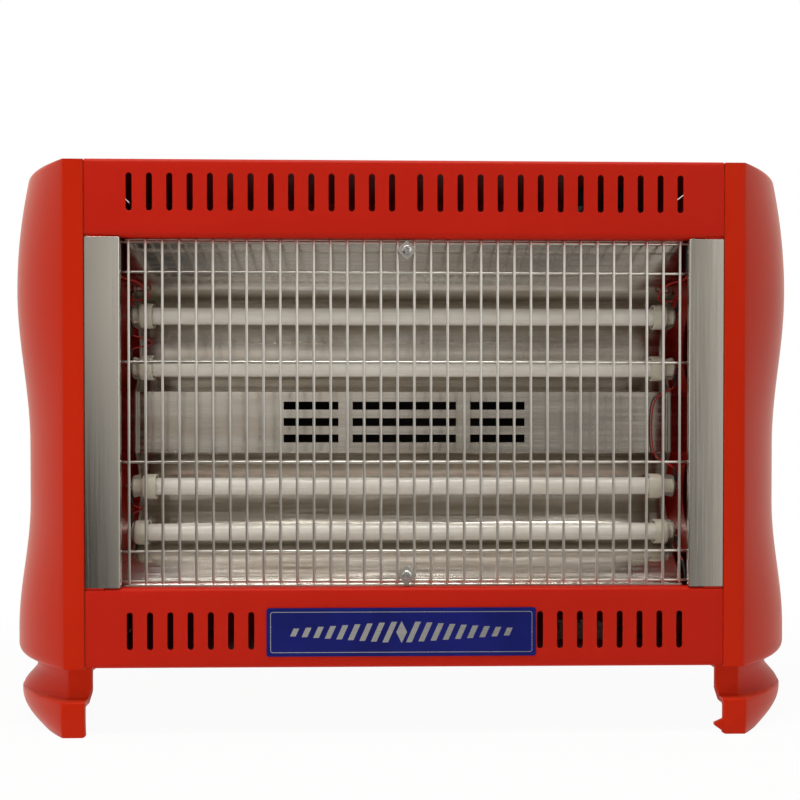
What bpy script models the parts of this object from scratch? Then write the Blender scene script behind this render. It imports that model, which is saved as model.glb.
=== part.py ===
"""Free-standing quartz-tube radiant heater.

A sheet-metal body stands between two moulded end cheeks on moulded feet. Four
quartz tubes in ceramic caps lie in a folded reflector behind a welded wire
grille, and two rocker switches sit in the top.

Metres, +Z up. The front faces -Y, +X is the right-hand end seen from the front,
and the origin is on the floor under the middle of the heater.
"""
import math

import bpy
import bmesh
from mathutils import Matrix, Vector

# Body heights, from the floor up
floor_clearance = 0.0512
bottom_fascia_height = 0.0595
opening_height = 0.2594
top_fascia_height = 0.0575

# Body plan
body_width = 0.474
cheek_depth = 0.152
fascia_setback = 0.0012
rear_setback = 0.0032
sheet = 0.001
bend_radius = 0.003
seam = 0.0003
fascia_return = 0.010
rear_flange = 0.020

# Vent slots in the two fascias
slot_width = 0.0044
slot_height = 0.0278
slot_pitch = 0.0149
slot_inner_half = 0.0104
slots_per_side = 14
bottom_slots_left = 7
bottom_slots_right = 8
top_slot_drop = 0.0247
bottom_slot_rise = 0.0278

# Vent slots in the rear panel
rear_slot_length = 0.040
rear_slot_width = 0.005
rear_slot_columns = 6
rear_slot_column_pitch = 0.058
rear_slot_pitch = 0.018
rear_slot_inset = 0.030
rear_slot_rows = 2

# End cheeks: moulded shells that swell, draw in at a waist and swell again
strip_width = 0.015
waist_reach = 0.2982
upper_reach = 0.3086
lower_reach = 0.3080
upper_swell_drop = 0.090
waist_low = 0.1212
waist_high = 0.1652
lower_swell_rise = 0.020
top_draw = 0.0108
cheek_wall = 0.0025
cheek_row_count = 12
rear_draw = 0.004
rear_corner = 0.005
cheek_top_drop = 0.0012
cheek_top_fillet = 0.004
cheek_bottom_fillet = 0.009
swell_lead = 0.96
swell_turn = 0.48

# Feet
base_height = 0.0268
base_reach = 0.3050
base_edge = 0.0015
base_crease_out = 0.002
sole_reach = 0.288
sole_setback = 0.002
neck_reach = 0.2935
neck_setback = 0.012
neck_fillet = 0.0035
neck_overlap = 0.002
shoulder_rise = 0.015
foot_wall = 0.004
rear_return = 0.010
lug_reach = 0.0062
lug_low = 0.0015
lug_tip_low = 0.0065
lug_tip_high = 0.0085
lug_high = 0.0117
lug_setback = 0.001
lug_depth = 0.004

# Bright trim strips and end plates beside the opening
trim_width = 0.026
trim_sheet = 0.0008
trim_return = 0.005
plate_flange = 0.014

# Reflector
reflector_sheet = 0.0006
reflector_half = 0.226
reflector_lip_rise = 0.004
band_depth = 0.050
band_height = 0.0476
band_drop = 0.0062
trough_height = 0.075
trough_sag = 0.022
shoulder_depth = 0.040
brow_depth = 0.010
brow_height = 0.0132
sill_depth = 0.004
sill_height = 0.0032
vent_height = 0.0062
vent_pitch = 0.0129
vent_wide = 0.0815
vent_narrow = 0.043
vent_gap = 0.0112
vent_rows = 3
lead_notch_width = 0.017
lead_notch_height = 0.016
lower_notch_height = 0.0128

# Welded wire grille
wire = 0.0022
wire_sides = 8
upright_count = 34
upright_pitch = 0.01248
upright_depth = 0.0070
weld_sink = 0.0003
cross_insets = (0.0034, 0.0256, 0.0924)
cross_overhang = 0.0070
upright_inset = 0.0013
grille_raise = 0.0006

# Quartz tubes and their ceramic caps
tube_diameter = 0.0134
tube_wall = 0.0012
tube_depth = 0.0395
upper_pair_pitch = 0.0400
upper_pair_shift = 0.0004
lower_pair_pitch = 0.0356
lower_pair_shift = -0.0064
left_mouths = (0.1938, 0.1938, 0.1915, 0.1977)
right_mouths = (0.1930, 0.1915, 0.1900, 0.1946)
tube_entry = 0.007
fit_gap = 0.0003
cap_diameter = 0.0192
cap_length = 0.0105
cap_taper = 0.003
cap_edge = 0.0014
mouth_depth = 0.0046
mouth_rim = 0.0012
neck_diameter = 0.011
neck_end = 0.2108
coil_diameter = 0.0052
pin_diameter = 0.0028
coil_inset = 0.016
terminal_across = 0.0064
terminal_thick = 0.0026
stud_length = 0.0022

# Comb brackets that carry the caps
bracket_sheet = 0.0008
bracket_plane = 0.2092
bracket_band = 0.006
ear_margin = 0.003
bracket_gap = 0.0011

# Grille clips and screws
clip_side = 0.0108
clip_thick = 0.0012
screw_head = 0.0074
screw_head_height = 0.0022
screw_shank = 0.0038
screw_length = 0.022
top_screw_drop = 0.0085
bottom_screw_rise = 0.0089
screw_x = 0.0006

# Badge plate
badge_width = 0.200
badge_height = 0.036
badge_thick = 0.0007
badge_x = -0.0034
badge_rise = 0.0267
badge_corner = 0.002

# Rocker switches in the top
switch_first_x = 0.150
switch_pitch = 0.024
switch_y = 0.020
bezel_length = 0.031
bezel_width = 0.0155
bezel_height = 0.002
housing_length = 0.027
housing_width = 0.0122
housing_depth = 0.016
housing_wall = 0.001
rocker_gap = 0.0004
rocker_tilt = 8.0
rocker_rise = 0.0022
rocker_thick = 0.0058
rocker_tip_lift = 0.0010
rocker_skirt = 0.0025
rocker_skirt_in = 0.0010
rocker_keel = 0.004
rocker_end_gap = 0.0005
trunnion_diameter = 0.003
trunnion_reach = 0.0006

# Cord bushing, terminal block and rear screws
bushing_x = 0.190
bushing_rise = 0.035
bushing_bore = 0.0076
bushing_barrel = 0.0130
bushing_flange = 0.0180
bushing_flange_thick = 0.0025
bushing_edge = 0.0008
bushing_length = 0.012
block_length = 0.042
block_width = 0.018
block_height = 0.014
block_x = 0.150
block_setback = 0.050
block_entry_share = 0.6
rear_screw_head = 0.0072
rear_screw_head_height = 0.0020
rear_screw_shank = 0.0036
rear_screw_length = 0.009
rear_screw_inset = 0.022

# Wiring
lead_diameter = 0.0012
sleeve_diameter = 0.0022
supply_sleeve_diameter = 0.0025
sleeve_reach = 0.0145
sleeve_lean = 0.0022
link_x = 0.1985
band_link_x = 0.1967
link_depth = 0.0064
corner_x = 0.2140
corner_depth = 0.017

# Heights and planes worked out from the driving sizes
body_bottom = floor_clearance
opening_bottom = body_bottom + bottom_fascia_height
opening_top = opening_bottom + opening_height
body_top = opening_top + top_fascia_height
body_half = body_width / 2
front_y = -cheek_depth / 2 + fascia_setback
rear_y = cheek_depth / 2 - rear_setback
band_middle = (opening_bottom + opening_top) / 2 - band_drop
band_top = band_middle + band_height / 2
band_bottom = band_middle - band_height / 2
crease_x = body_half + strip_width
cheek_top = body_top - cheek_top_drop
block_y = rear_y - block_setback
block_floor = body_bottom + sheet + seam

for old in list(bpy.data.objects):
    bpy.data.objects.remove(old, do_unlink=True)
parts = bpy.data.collections.new("electric_heater")
cutters = bpy.data.collections.new("cutters")
bpy.context.scene.collection.children.link(parts)
bpy.context.scene.collection.children.link(cutters)


def material(name, colour, roughness, metallic=0.0):
    """A Principled BSDF with plain values."""
    finish = bpy.data.materials.new(name)
    finish.use_nodes = True
    shader = finish.node_tree.nodes["Principled BSDF"]
    shader.inputs["Base Color"].default_value = (*colour, 1.0)
    shader.inputs["Roughness"].default_value = roughness
    shader.inputs["Metallic"].default_value = metallic
    return finish


def place(bm, name, finish, collection=None):
    """Turn a bmesh into a named object with its faces pointing out."""
    bmesh.ops.recalc_face_normals(bm, faces=bm.faces)
    mesh = bpy.data.meshes.new(name)
    bm.to_mesh(mesh)
    bm.free()
    item = bpy.data.objects.new(name, mesh)
    (collection or parts).objects.link(item)
    if finish is not None:
        mesh.materials.append(finish)
    return item


def as_cutter(item):
    """Keep a cutting or joining shape out of the finished part."""
    item.hide_render = True
    item.display_type = "WIRE"
    return item


def boolean(item, tool, operation):
    """Cut or join one object with another."""
    step = item.modifiers.new(operation.lower() + "_" + tool.name, "BOOLEAN")
    step.operation = operation
    step.object = tool
    step.solver = "EXACT"
    return item


def smooth(item, angle=35.0):
    """Shade round faces smooth and keep real corners sharp."""
    item.data.shade_smooth()
    item.data.set_sharp_from_angle(angle=math.radians(angle))
    return item


def add_prism(bm, outline, direction):
    """Add one closed prism: a flat outline carried along a direction."""
    base = bm.faces.new([bm.verts.new(point) for point in outline])
    grown = bmesh.ops.extrude_face_region(bm, geom=[base])
    tops = [part for part in grown["geom"] if isinstance(part, bmesh.types.BMVert)]
    bmesh.ops.translate(bm, verts=tops, vec=direction)


def add_box(bm, low, high):
    """Add one box between two corners."""
    middle = (Vector(low) + Vector(high)) / 2
    size = Vector(high) - Vector(low)
    placed = Matrix.Translation(middle) @ Matrix.Diagonal((*size, 1.0))
    bmesh.ops.create_cube(bm, size=1.0, matrix=placed)


def box(name, low, high, finish, collection=None):
    """One box as an object."""
    bm = bmesh.new()
    add_box(bm, low, high)
    return place(bm, name, finish, collection)


def add_rod(bm, start, end, radius, sides):
    """Add one straight round rod between two points."""
    start, end = Vector(start), Vector(end)
    run = end - start
    turn = run.to_track_quat("Z", "Y").to_matrix().to_4x4()
    spot = Matrix.Translation((start + end) / 2) @ turn
    bmesh.ops.create_cone(bm, cap_ends=True, segments=sides, radius1=radius,
                          radius2=radius, depth=run.length, matrix=spot)


def stadium(width, height, steps=3):
    """Outline of an upright slot with round ends, as (across, up) points."""
    radius = width / 2
    straight = height / 2 - radius
    points = []
    for centre, first in ((straight, 0.0), (-straight, math.pi)):
        for step in range(steps + 1):
            angle = first + math.pi * step / steps
            points.append((radius * math.cos(angle), centre + radius * math.sin(angle)))
    return points


def rounded_path(corners, radius, steps=3):
    """A path whose inner corners are turned into arcs."""
    path = [corners[0]]
    for before, corner, after in zip(corners, corners[1:], corners[2:]):
        into = (Vector(corner) - Vector(before)).normalized()
        out = (Vector(after) - Vector(corner)).normalized()
        turn = into.angle(out)
        cut = radius * math.tan(turn / 2)
        start = Vector(corner) - into * cut
        side = (out - into * into.dot(out)).normalized()
        hub = start + side * radius
        for step in range(steps + 1):
            angle = turn * step / steps
            path.append(tuple(hub - side * radius * math.cos(angle) + into * radius * math.sin(angle)))
    path.append(corners[-1])
    return path


def bent_sheet(name, path, thickness, finish, low, high, along="X"):
    """A folded sheet: an open path carried along one axis, then given its gauge."""
    bm = bmesh.new()
    if along == "X":
        verts = [bm.verts.new((low, a, b)) for a, b in path]
        run = Vector((high - low, 0, 0))
    else:
        verts = [bm.verts.new((a, b, low)) for a, b in path]
        run = Vector((0, 0, high - low))
    edges = [bm.edges.new(pair) for pair in zip(verts, verts[1:])]
    grown = bmesh.ops.extrude_edge_only(bm, edges=edges)
    tops = [part for part in grown["geom"] if isinstance(part, bmesh.types.BMVert)]
    bmesh.ops.translate(bm, verts=tops, vec=run)
    item = place(bm, name, finish)
    wall = item.modifiers.new("gauge", "SOLIDIFY")
    wall.thickness = thickness
    wall.offset = 0.0
    wall.use_even_offset = True
    return item


def turned(name, profile, finish, spot, outward, steps=16, collection=None):
    """A turned piece: (radius, height) points from top to bottom, about an axis."""
    bm = bmesh.new()
    verts = [bm.verts.new((radius, 0, height)) for radius, height in profile]
    for pair in zip(verts, verts[1:]):
        bm.edges.new(pair)
    if profile[0][0] > 0:
        bm.edges.new((verts[-1], verts[0]))
    mesh = bpy.data.meshes.new(name)
    bm.to_mesh(mesh)
    bm.free()
    mesh.materials.append(finish)
    item = bpy.data.objects.new(name, mesh)
    (collection or parts).objects.link(item)
    spin = item.modifiers.new("turning", "SCREW")
    spin.axis = "Z"
    spin.steps = steps
    spin.render_steps = steps
    spin.use_merge_vertices = True
    spin.merge_threshold = 0.00001
    spin.use_smooth_shade = True
    item.location = spot
    item.rotation_mode = "QUATERNION"
    item.rotation_quaternion = Vector(outward).to_track_quat("Z", "Y")
    return item


def loft(sections):
    """Skin a stack of closed sections and close both ends."""
    bm = bmesh.new()
    rings = [[bm.verts.new(point) for point in section] for section in sections]
    for low, high in zip(rings, rings[1:]):
        for i in range(len(low)):
            j = (i + 1) % len(low)
            bm.faces.new((low[i], low[j], high[j], high[i]))
    bm.faces.new(rings[0])
    bm.faces.new(list(reversed(rings[-1])))
    return bm


def wire_curve(name, stops, finish, steps=2):
    """A lead: a round wire on a smooth curve through hand-chosen (x, y, z, diameter) stops."""
    guide = [Vector(stop[:3]) for stop in stops]
    guide = [2 * guide[0] - guide[1]] + guide + [2 * guide[-1] - guide[-2]]
    widths = [stop[3] for stop in stops]
    path = []
    for index, (a, b, c, d) in enumerate(zip(guide, guide[1:], guide[2:], guide[3:])):
        for step in range(steps):
            t = step / steps
            spot = 0.5 * (2 * b + (c - a) * t + (2 * a - 5 * b + 4 * c - d) * t ** 2
                          + (3 * b - a - 3 * c + d) * t ** 3)
            path.append((spot, widths[index] + (widths[index + 1] - widths[index]) * t))
    path.append((guide[-2], widths[-1]))
    curve = bpy.data.curves.new(name, "CURVE")
    curve.dimensions = "3D"
    curve.bevel_depth = lead_diameter / 2
    curve.bevel_resolution = 1
    curve.use_fill_caps = True
    curve.materials.append(finish)
    spline = curve.splines.new("POLY")
    spline.points.add(len(path) - 1)
    for point, (spot, width) in zip(spline.points, path):
        point.co = (*spot, 1.0)
        point.radius = width / lead_diameter
    item = bpy.data.objects.new(name, curve)
    parts.objects.link(item)
    return item


red_paint = material("red_powder_coat", (0.42, 0.016, 0.008), 0.38)
black_paint = material("black_powder_coat", (0.012, 0.011, 0.011), 0.50)
red_plastic = material("red_moulding", (0.47, 0.014, 0.006), 0.33)
bright_steel = material("bright_steel", (0.60, 0.58, 0.54), 0.22, 1.0)
mirror_sheet = material("polished_reflector", (0.66, 0.63, 0.58), 0.16, 1.0)
zinc_wire = material("plated_wire", (0.62, 0.60, 0.56), 0.28, 1.0)
zinc_steel = material("zinc_steel", (0.66, 0.66, 0.64), 0.30, 1.0)
quartz = material("milky_quartz", (0.62, 0.58, 0.52), 0.22)
ceramic = material("glazed_ceramic", (0.72, 0.68, 0.56), 0.42)
coil_metal = material("resistance_wire", (0.30, 0.28, 0.26), 0.45, 1.0)
black_sleeve = material("black_sleeving", (0.02, 0.02, 0.02), 0.60)
badge_blue = material("blue_badge", (0.006, 0.010, 0.15), 0.25)
black_plastic = material("black_plastic", (0.015, 0.015, 0.015), 0.40)
switch_red = material("switch_red", (0.55, 0.01, 0.01), 0.20)
cream_plastic = material("cream_plastic", (0.70, 0.66, 0.55), 0.45)


# Top cover and bottom pan

def fascia_slots(name, centres, height):
    """Cutters for a row of upright vent slots through a fascia."""
    bm = bmesh.new()
    for x in centres:
        outline = [(x + a, front_y - sheet, height + b) for a, b in stadium(slot_width, slot_height)]
        add_prism(bm, outline, (0, 3 * sheet, 0))
    return as_cutter(place(bm, name, None, cutters))


slot_steps = [slot_inner_half + slot_pitch * step for step in range(slots_per_side)]
half = sheet / 2
top_path = rounded_path([
    (front_y + fascia_return, opening_top + half),
    (front_y + half, opening_top + half),
    (front_y + half, body_top - half),
    (rear_y - sheet - seam - half, body_top - half),
    (rear_y - sheet - seam - half, body_top - rear_flange),
], bend_radius)
top_cover = bent_sheet("top_cover", top_path, sheet, red_paint, -body_half, body_half)
top_height = body_top - top_slot_drop
boolean(top_cover, fascia_slots("top_slot_cutters", [-x for x in slot_steps] + slot_steps,
                                top_height), "DIFFERENCE")

bottom_path = rounded_path([
    (front_y + fascia_return, opening_bottom - half),
    (front_y + half, opening_bottom - half),
    (front_y + half, body_bottom + half),
    (rear_y - sheet - seam - half, body_bottom + half),
    (rear_y - sheet - seam - half, body_bottom + rear_flange),
], bend_radius)
bottom_pan = bent_sheet("bottom_pan", bottom_path, sheet, red_paint, -body_half, body_half)
bottom_centres = ([-x for x in slot_steps[slots_per_side - bottom_slots_left:]]
                  + slot_steps[slots_per_side - bottom_slots_right:])
boolean(bottom_pan, fascia_slots("bottom_slot_cutters", bottom_centres,
                                 body_bottom + bottom_slot_rise), "DIFFERENCE")


# Rear panel with its vents, screws and cord bushing

rear_panel = box("rear_panel", (-body_half, rear_y - sheet, body_bottom),
                 (body_half, rear_y, body_top), black_paint)
bushing_height = body_bottom + bushing_rise
bm = bmesh.new()
for group_height in (body_top - rear_flange - rear_slot_inset, body_bottom + rear_flange + rear_slot_inset):
    for column in range(rear_slot_columns):
        x = (column - (rear_slot_columns - 1) / 2) * rear_slot_column_pitch
        for row in range(rear_slot_rows):
            z = group_height + (row - (rear_slot_rows - 1) / 2) * rear_slot_pitch
            outline = [(x + b, rear_y - 2 * sheet, z + a)
                       for a, b in stadium(rear_slot_width, rear_slot_length, 2)]
            add_prism(bm, outline, (0, 3 * sheet, 0))
add_rod(bm, (bushing_x, rear_y - 2 * sheet, bushing_height),
        (bushing_x, rear_y + sheet, bushing_height), bushing_barrel / 2 + fit_gap, 20)
boolean(rear_panel, as_cutter(place(bm, "rear_vent_cutters", None, cutters)), "DIFFERENCE")

turned("cord_bushing", [
    (bushing_bore / 2, bushing_flange_thick),
    (bushing_flange / 2 - bushing_edge, bushing_flange_thick),
    (bushing_flange / 2, bushing_flange_thick - bushing_edge),
    (bushing_flange / 2, 0.0),
    (bushing_barrel / 2, 0.0),
    (bushing_barrel / 2, -bushing_length),
    (bushing_bore / 2, -bushing_length),
], black_plastic, (bushing_x, rear_y + seam, bushing_height), (0, 1, 0), 16)

box("terminal_block", (block_x - block_length / 2, block_y, block_floor),
    (block_x + block_length / 2, block_y + block_width, block_floor + block_height), cream_plastic)


# Cuts shared by the covers: room for the end plates, and the rear screws

def return_notches(name, height):
    """Cutters that shorten a fascia's inner return where the end plates pass."""
    bm = bmesh.new()
    for side in (-1, 1):
        inner = side * (body_half - plate_flange - seam)
        outer = side * (body_half + sheet)
        add_box(bm, (min(inner, outer), front_y + sheet, height - bend_radius - sheet),
                (max(inner, outer), front_y + fascia_return + sheet, height + bend_radius + sheet))
    return as_cutter(place(bm, name, None, cutters))


boolean(top_cover, return_notches("top_return_notches", opening_top), "DIFFERENCE")
boolean(bottom_pan, return_notches("bottom_return_notches", opening_bottom), "DIFFERENCE")

screw_spots = [(side * (body_half - rear_screw_inset), height)
               for height in (body_top - rear_flange / 2, body_bottom + rear_flange / 2)
               for side in (-1, 1)]
bm = bmesh.new()
for x, z in screw_spots:
    add_rod(bm, (x, rear_y - 4 * sheet, z), (x, rear_y + sheet, z), rear_screw_shank / 2 + fit_gap, 10)
rear_holes = as_cutter(place(bm, "rear_screw_holes", None, cutters))
for sheet_part in (rear_panel, top_cover, bottom_pan):
    boolean(sheet_part, rear_holes, "DIFFERENCE")
for number, (x, z) in enumerate(screw_spots, 1):
    turned("rear_screw_%d" % number, [
        (0.0, rear_screw_head_height),
        (rear_screw_head * 0.32, rear_screw_head_height * 0.85),
        (rear_screw_head / 2, rear_screw_head_height * 0.3),
        (rear_screw_head / 2, 0.0),
        (rear_screw_shank / 2, 0.0),
        (rear_screw_shank / 2, -rear_screw_length),
        (0.0, -rear_screw_length),
    ], zinc_steel, (x, rear_y + seam, z), (0, 1, 0), 10)


# End plates, trim strips

plate_top = body_top - sheet / 2 - bend_radius - seam
plate_bottom = body_bottom + sheet / 2 + bend_radius + seam
for side, word in ((-1, "left"), (1, "right")):
    web = body_half - seam - trim_sheet / 2
    plate_front = front_y + sheet + seam + trim_sheet / 2
    plate_rear = rear_y - 2 * sheet - 2 * seam - trim_sheet / 2
    path = [(side * (body_half - plate_flange), plate_front), (side * web, plate_front),
            (side * web, plate_rear), (side * (body_half - plate_flange), plate_rear)]
    bent_sheet("end_plate_" + word, path, trim_sheet, red_paint, plate_bottom, plate_top, "Z")
    inner = body_half - trim_width + trim_sheet / 2
    path = [(side * inner, front_y + trim_return), (side * inner, front_y + trim_sheet / 2),
            (side * (body_half - seam), front_y + trim_sheet / 2)]
    bent_sheet("trim_strip_" + word, path, trim_sheet, bright_steel,
               opening_bottom + seam, opening_top - seam, "Z")


# End cheeks and feet

def swell(steps=5):
    """Shares (outward, towards mid-depth) of a moulding's side, crease to middle."""
    shares = []
    for step in range(1, steps + 1):
        t = step / steps
        shares.append((2 * t * (1 - t) * swell_lead + t * t,
                       1 - (1 - t) ** 2 - 2 * t * (1 - t) * swell_turn))
    return shares


def plan(side, inner, crease, reach, depth_half, height):
    """Outline of a moulding at one height: front face, swelled side, flat rear face."""
    front = [(inner, -depth_half), (crease, -depth_half)]
    front += [(crease + (reach - crease) * out, -depth_half * (1 - back)) for out, back in swell()]
    rear_reach = reach - rear_draw
    chamfer = rear_corner * 0.3
    rear = [(rear_reach, depth_half - rear_corner), (rear_reach - chamfer, depth_half - chamfer),
            (rear_reach - rear_corner, depth_half), (inner, depth_half)]
    return [(side * x, y, height) for x, y in front + rear]


def cosine_blend(share):
    """Smooth step from 0 to 1."""
    share = min(max(share, 0.0), 1.0)
    return (1 - math.cos(math.pi * share)) / 2


def cheek_reach(z):
    """Half-width of the heater at mid-depth, at a height on the cheek."""
    upper_peak = body_top - upper_swell_drop
    lower_peak = body_bottom + lower_swell_rise
    low_waist = body_bottom + waist_low
    high_waist = body_bottom + waist_high
    if z >= upper_peak:
        reach = upper_reach - top_draw * ((z - upper_peak) / (cheek_top - upper_peak)) ** 2
    elif z >= high_waist:
        reach = waist_reach + (upper_reach - waist_reach) * cosine_blend(
            (z - high_waist) / (upper_peak - high_waist))
    else:
        reach = waist_reach + (lower_reach - waist_reach) * cosine_blend(
            (low_waist - z) / (low_waist - lower_peak))
    return reach


def fillet_loss(distance, radius):
    """How far a rounded edge draws in at a distance from the edge's face."""
    if distance >= radius:
        return 0.0
    return radius - math.sqrt(radius ** 2 - (radius - distance) ** 2)


def cheek_rows():
    """Heights of the cheek's rows, closer together round its edges."""
    rows = [body_bottom + cheek_bottom_fillet * share for share in (0.0, 0.1, 0.35, 1.0)]
    low, high = rows[-1], cheek_top - cheek_top_fillet
    rows += [low + (high - low) * step / cheek_row_count for step in range(1, cheek_row_count + 1)]
    rows += [cheek_top - cheek_top_fillet * share for share in (0.3, 0.0)]
    return rows


def cheek_sections(side, inner, crease, inset, rows):
    """Sections of a cheek's outer face, or of its hollow when inset by the wall."""
    sections = []
    for z in rows:
        loss = (fillet_loss(z - body_bottom, cheek_bottom_fillet)
                + fillet_loss(cheek_top - z, cheek_top_fillet))
        level = min(max(z, body_bottom + inset), cheek_top - inset)
        sections.append(plan(side, inner, crease, cheek_reach(z) - loss - inset,
                             cheek_depth / 2 - inset, level))
    return sections


for side, word in ((-1, "left"), (1, "right")):
    rows = cheek_rows()
    shell = loft(cheek_sections(side, body_half + seam, crease_x, 0.0, rows))
    cheek = place(shell, "end_cheek_" + word, red_plastic)
    hollow = loft(cheek_sections(side, body_half - sheet, crease_x - cheek_wall, cheek_wall, rows[2:-1]))
    boolean(cheek, as_cutter(place(hollow, "cheek_hollow_" + word, None, cutters)), "DIFFERENCE")
    smooth(cheek)


def foot_sections(side, inset, rows):
    """Sections of a foot from rows of (height, reach, setback, inner edge, crease)."""
    return [plan(side, inner - inset, crease - inset, reach - inset, cheek_depth / 2 - setback - inset, z)
            for z, reach, setback, inner, crease in rows]


foot_top = body_bottom - seam
base_inner, neck_inner = body_half + seam, body_half - neck_overlap
base_crease, neck_crease = crease_x + base_crease_out, crease_x
flare, shoulder = base_reach - sole_reach, base_reach - neck_reach
ledge_draw = neck_fillet * 0.8
foot_rows = [
    (0.0, sole_reach, sole_setback, base_inner, base_crease),
    (base_height * 0.25, sole_reach + flare * 0.50, sole_setback * 0.25, base_inner, base_crease),
    (base_height * 0.65, sole_reach + flare * 0.92, 0.0, base_inner, base_crease),
    (base_height - base_edge, base_reach, 0.0, base_inner, base_crease),
    (base_height, base_reach - shoulder * 0.02, base_edge, base_inner, base_crease - base_edge),
    (base_height + neck_fillet * 0.2, base_reach - shoulder * 0.05, neck_setback - ledge_draw,
     base_inner, neck_crease),
    (base_height + neck_fillet, base_reach - shoulder * 0.15, neck_setback,
     base_inner + (neck_inner - base_inner) * 0.15, neck_crease),
    (base_height + shoulder_rise * 0.47, base_reach - shoulder * 0.42, neck_setback,
     base_inner + (neck_inner - base_inner) * 0.65, neck_crease),
    (base_height + shoulder_rise * 0.77, base_reach - shoulder * 0.78, neck_setback, neck_inner, neck_crease),
    (base_height + shoulder_rise, neck_reach, neck_setback, neck_inner, neck_crease),
    (foot_top, neck_reach, neck_setback, neck_inner, neck_crease),
]
base_rows = 3
opening_y = cheek_depth / 2 - neck_setback - 2 * foot_wall
for side, word in ((-1, "left"), (1, "right")):
    foot = place(loft(foot_sections(side, 0.0, foot_rows)), "foot_" + word, red_plastic)
    sole_cut = (-foot_wall, *foot_rows[0][1:])
    upper_cuts = [(row[0] - foot_wall, *row[1:]) for row in foot_rows[base_rows:]]
    pocket = loft(foot_sections(side, foot_wall, [sole_cut] + foot_rows[1:base_rows] + upper_cuts))
    boolean(foot, as_cutter(place(pocket, "foot_pocket_" + word, None, cutters)), "DIFFERENCE")
    ends = sorted((side * (body_half - foot_wall), side * (neck_reach - rear_return)))
    opening = box("foot_opening_" + word, (ends[0], opening_y, -foot_wall),
                  (ends[1], cheek_depth / 2 + foot_wall, foot_top - foot_wall), None, cutters)
    boolean(foot, as_cutter(opening), "DIFFERENCE")
    if side > 0:
        lug_y = lug_setback - cheek_depth / 2
        tip_x, root_x = base_inner - lug_reach, base_inner + foot_wall / 2
        bm = bmesh.new()
        add_prism(bm, [(root_x, lug_y, lug_low), (tip_x, lug_y, lug_tip_low), (tip_x, lug_y, lug_tip_high),
                       (root_x, lug_y, lug_high)], (0, lug_depth, 0))
        boolean(foot, as_cutter(place(bm, "foot_lug", None, cutters)), "UNION")
    smooth(foot)


# Reflector

def trough(top, bottom, steps=6):
    """A curved trough between two ridges, as (depth, height) points."""
    points = []
    for step in range(1, steps):
        t = step / steps
        depth = top[0] + (bottom[0] - top[0]) * t + trough_sag * 4 * t * (1 - t)
        points.append((depth, top[1] + (bottom[1] - top[1]) * t))
    return points


shoulder_top = (shoulder_depth, band_top + trough_height)
shoulder_bottom = (shoulder_depth, band_bottom - trough_height)
ridge_top = (band_depth, band_top)
ridge_bottom = (band_depth, band_bottom)
lip_depth = fascia_return + seam + reflector_sheet / 2
trough_run = ([shoulder_top] + trough(shoulder_top, ridge_top) + [ridge_top, ridge_bottom]
              + trough(ridge_bottom, shoulder_bottom) + [shoulder_bottom])
reflector_run = ([(lip_depth, opening_top + reflector_lip_rise), (lip_depth, opening_top - sheet),
                  (shoulder_depth - brow_depth, shoulder_top[1] + brow_height)] + trough_run
                 + [(shoulder_depth - sill_depth, shoulder_bottom[1] - sill_height),
                    (lip_depth, opening_bottom + sheet), (lip_depth, opening_bottom - reflector_lip_rise)])
reflector_path = [(front_y + depth, z) for depth, z in reflector_run]
reflector = bent_sheet("reflector", reflector_path, reflector_sheet, mirror_sheet,
                       -reflector_half, reflector_half)

top_screw_z = opening_top - top_screw_drop
bottom_screw_z = opening_bottom + bottom_screw_rise
bm = bmesh.new()
vent_columns = ((0.0, vent_wide), (-(vent_wide + vent_narrow) / 2 - vent_gap, vent_narrow),
                ((vent_wide + vent_narrow) / 2 + vent_gap, vent_narrow))
for x, width in vent_columns:
    for row in range(vent_rows):
        z = band_middle + (row - (vent_rows - 1) / 2) * vent_pitch
        add_box(bm, (x - width / 2, front_y + band_depth - 2 * sheet, z - vent_height / 2),
                (x + width / 2, front_y + band_depth + 2 * sheet, z + vent_height / 2))
notch_inner = reflector_half - lead_notch_width
for side in (-1, 1):
    ends = sorted((side * notch_inner, side * (reflector_half + sheet)))
    add_box(bm, (ends[0], front_y, opening_top - lead_notch_height),
            (ends[1], front_y + shoulder_depth, opening_top + 2 * reflector_lip_rise))
add_box(bm, (notch_inner, front_y, opening_bottom - 2 * reflector_lip_rise),
        (reflector_half + sheet, front_y + shoulder_depth, opening_bottom + lower_notch_height))
for z in (top_screw_z, bottom_screw_z):
    add_rod(bm, (screw_x, front_y + fascia_return, z), (screw_x, front_y + shoulder_depth, z),
            screw_shank / 2 + 2 * fit_gap, 12)
boolean(reflector, as_cutter(place(bm, "reflector_cutters", None, cutters)), "DIFFERENCE")


# Grille: uprights welded to the front of six cross wires

cross_y = front_y + upright_depth + wire - weld_sink
upright_y = front_y + upright_depth
upright_half = upright_pitch * (upright_count - 1) / 2
bm = bmesh.new()
for number in range(upright_count):
    x = number * upright_pitch - upright_half
    add_rod(bm, (x, upright_y, opening_bottom + upright_inset + grille_raise),
            (x, upright_y, opening_top - upright_inset + grille_raise), wire / 2, wire_sides)
grille = place(bm, "grille", zinc_wire)
bm = bmesh.new()
cross_half = upright_half + cross_overhang
for inset in cross_insets:
    for z in (opening_bottom + inset + grille_raise, opening_top - inset + grille_raise):
        add_rod(bm, (-cross_half, cross_y, z), (cross_half, cross_y, z), wire / 2, wire_sides)
boolean(grille, as_cutter(place(bm, "cross_wires", None, cutters)), "UNION")


# Clips and screws that hold the grille at its middle

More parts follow.
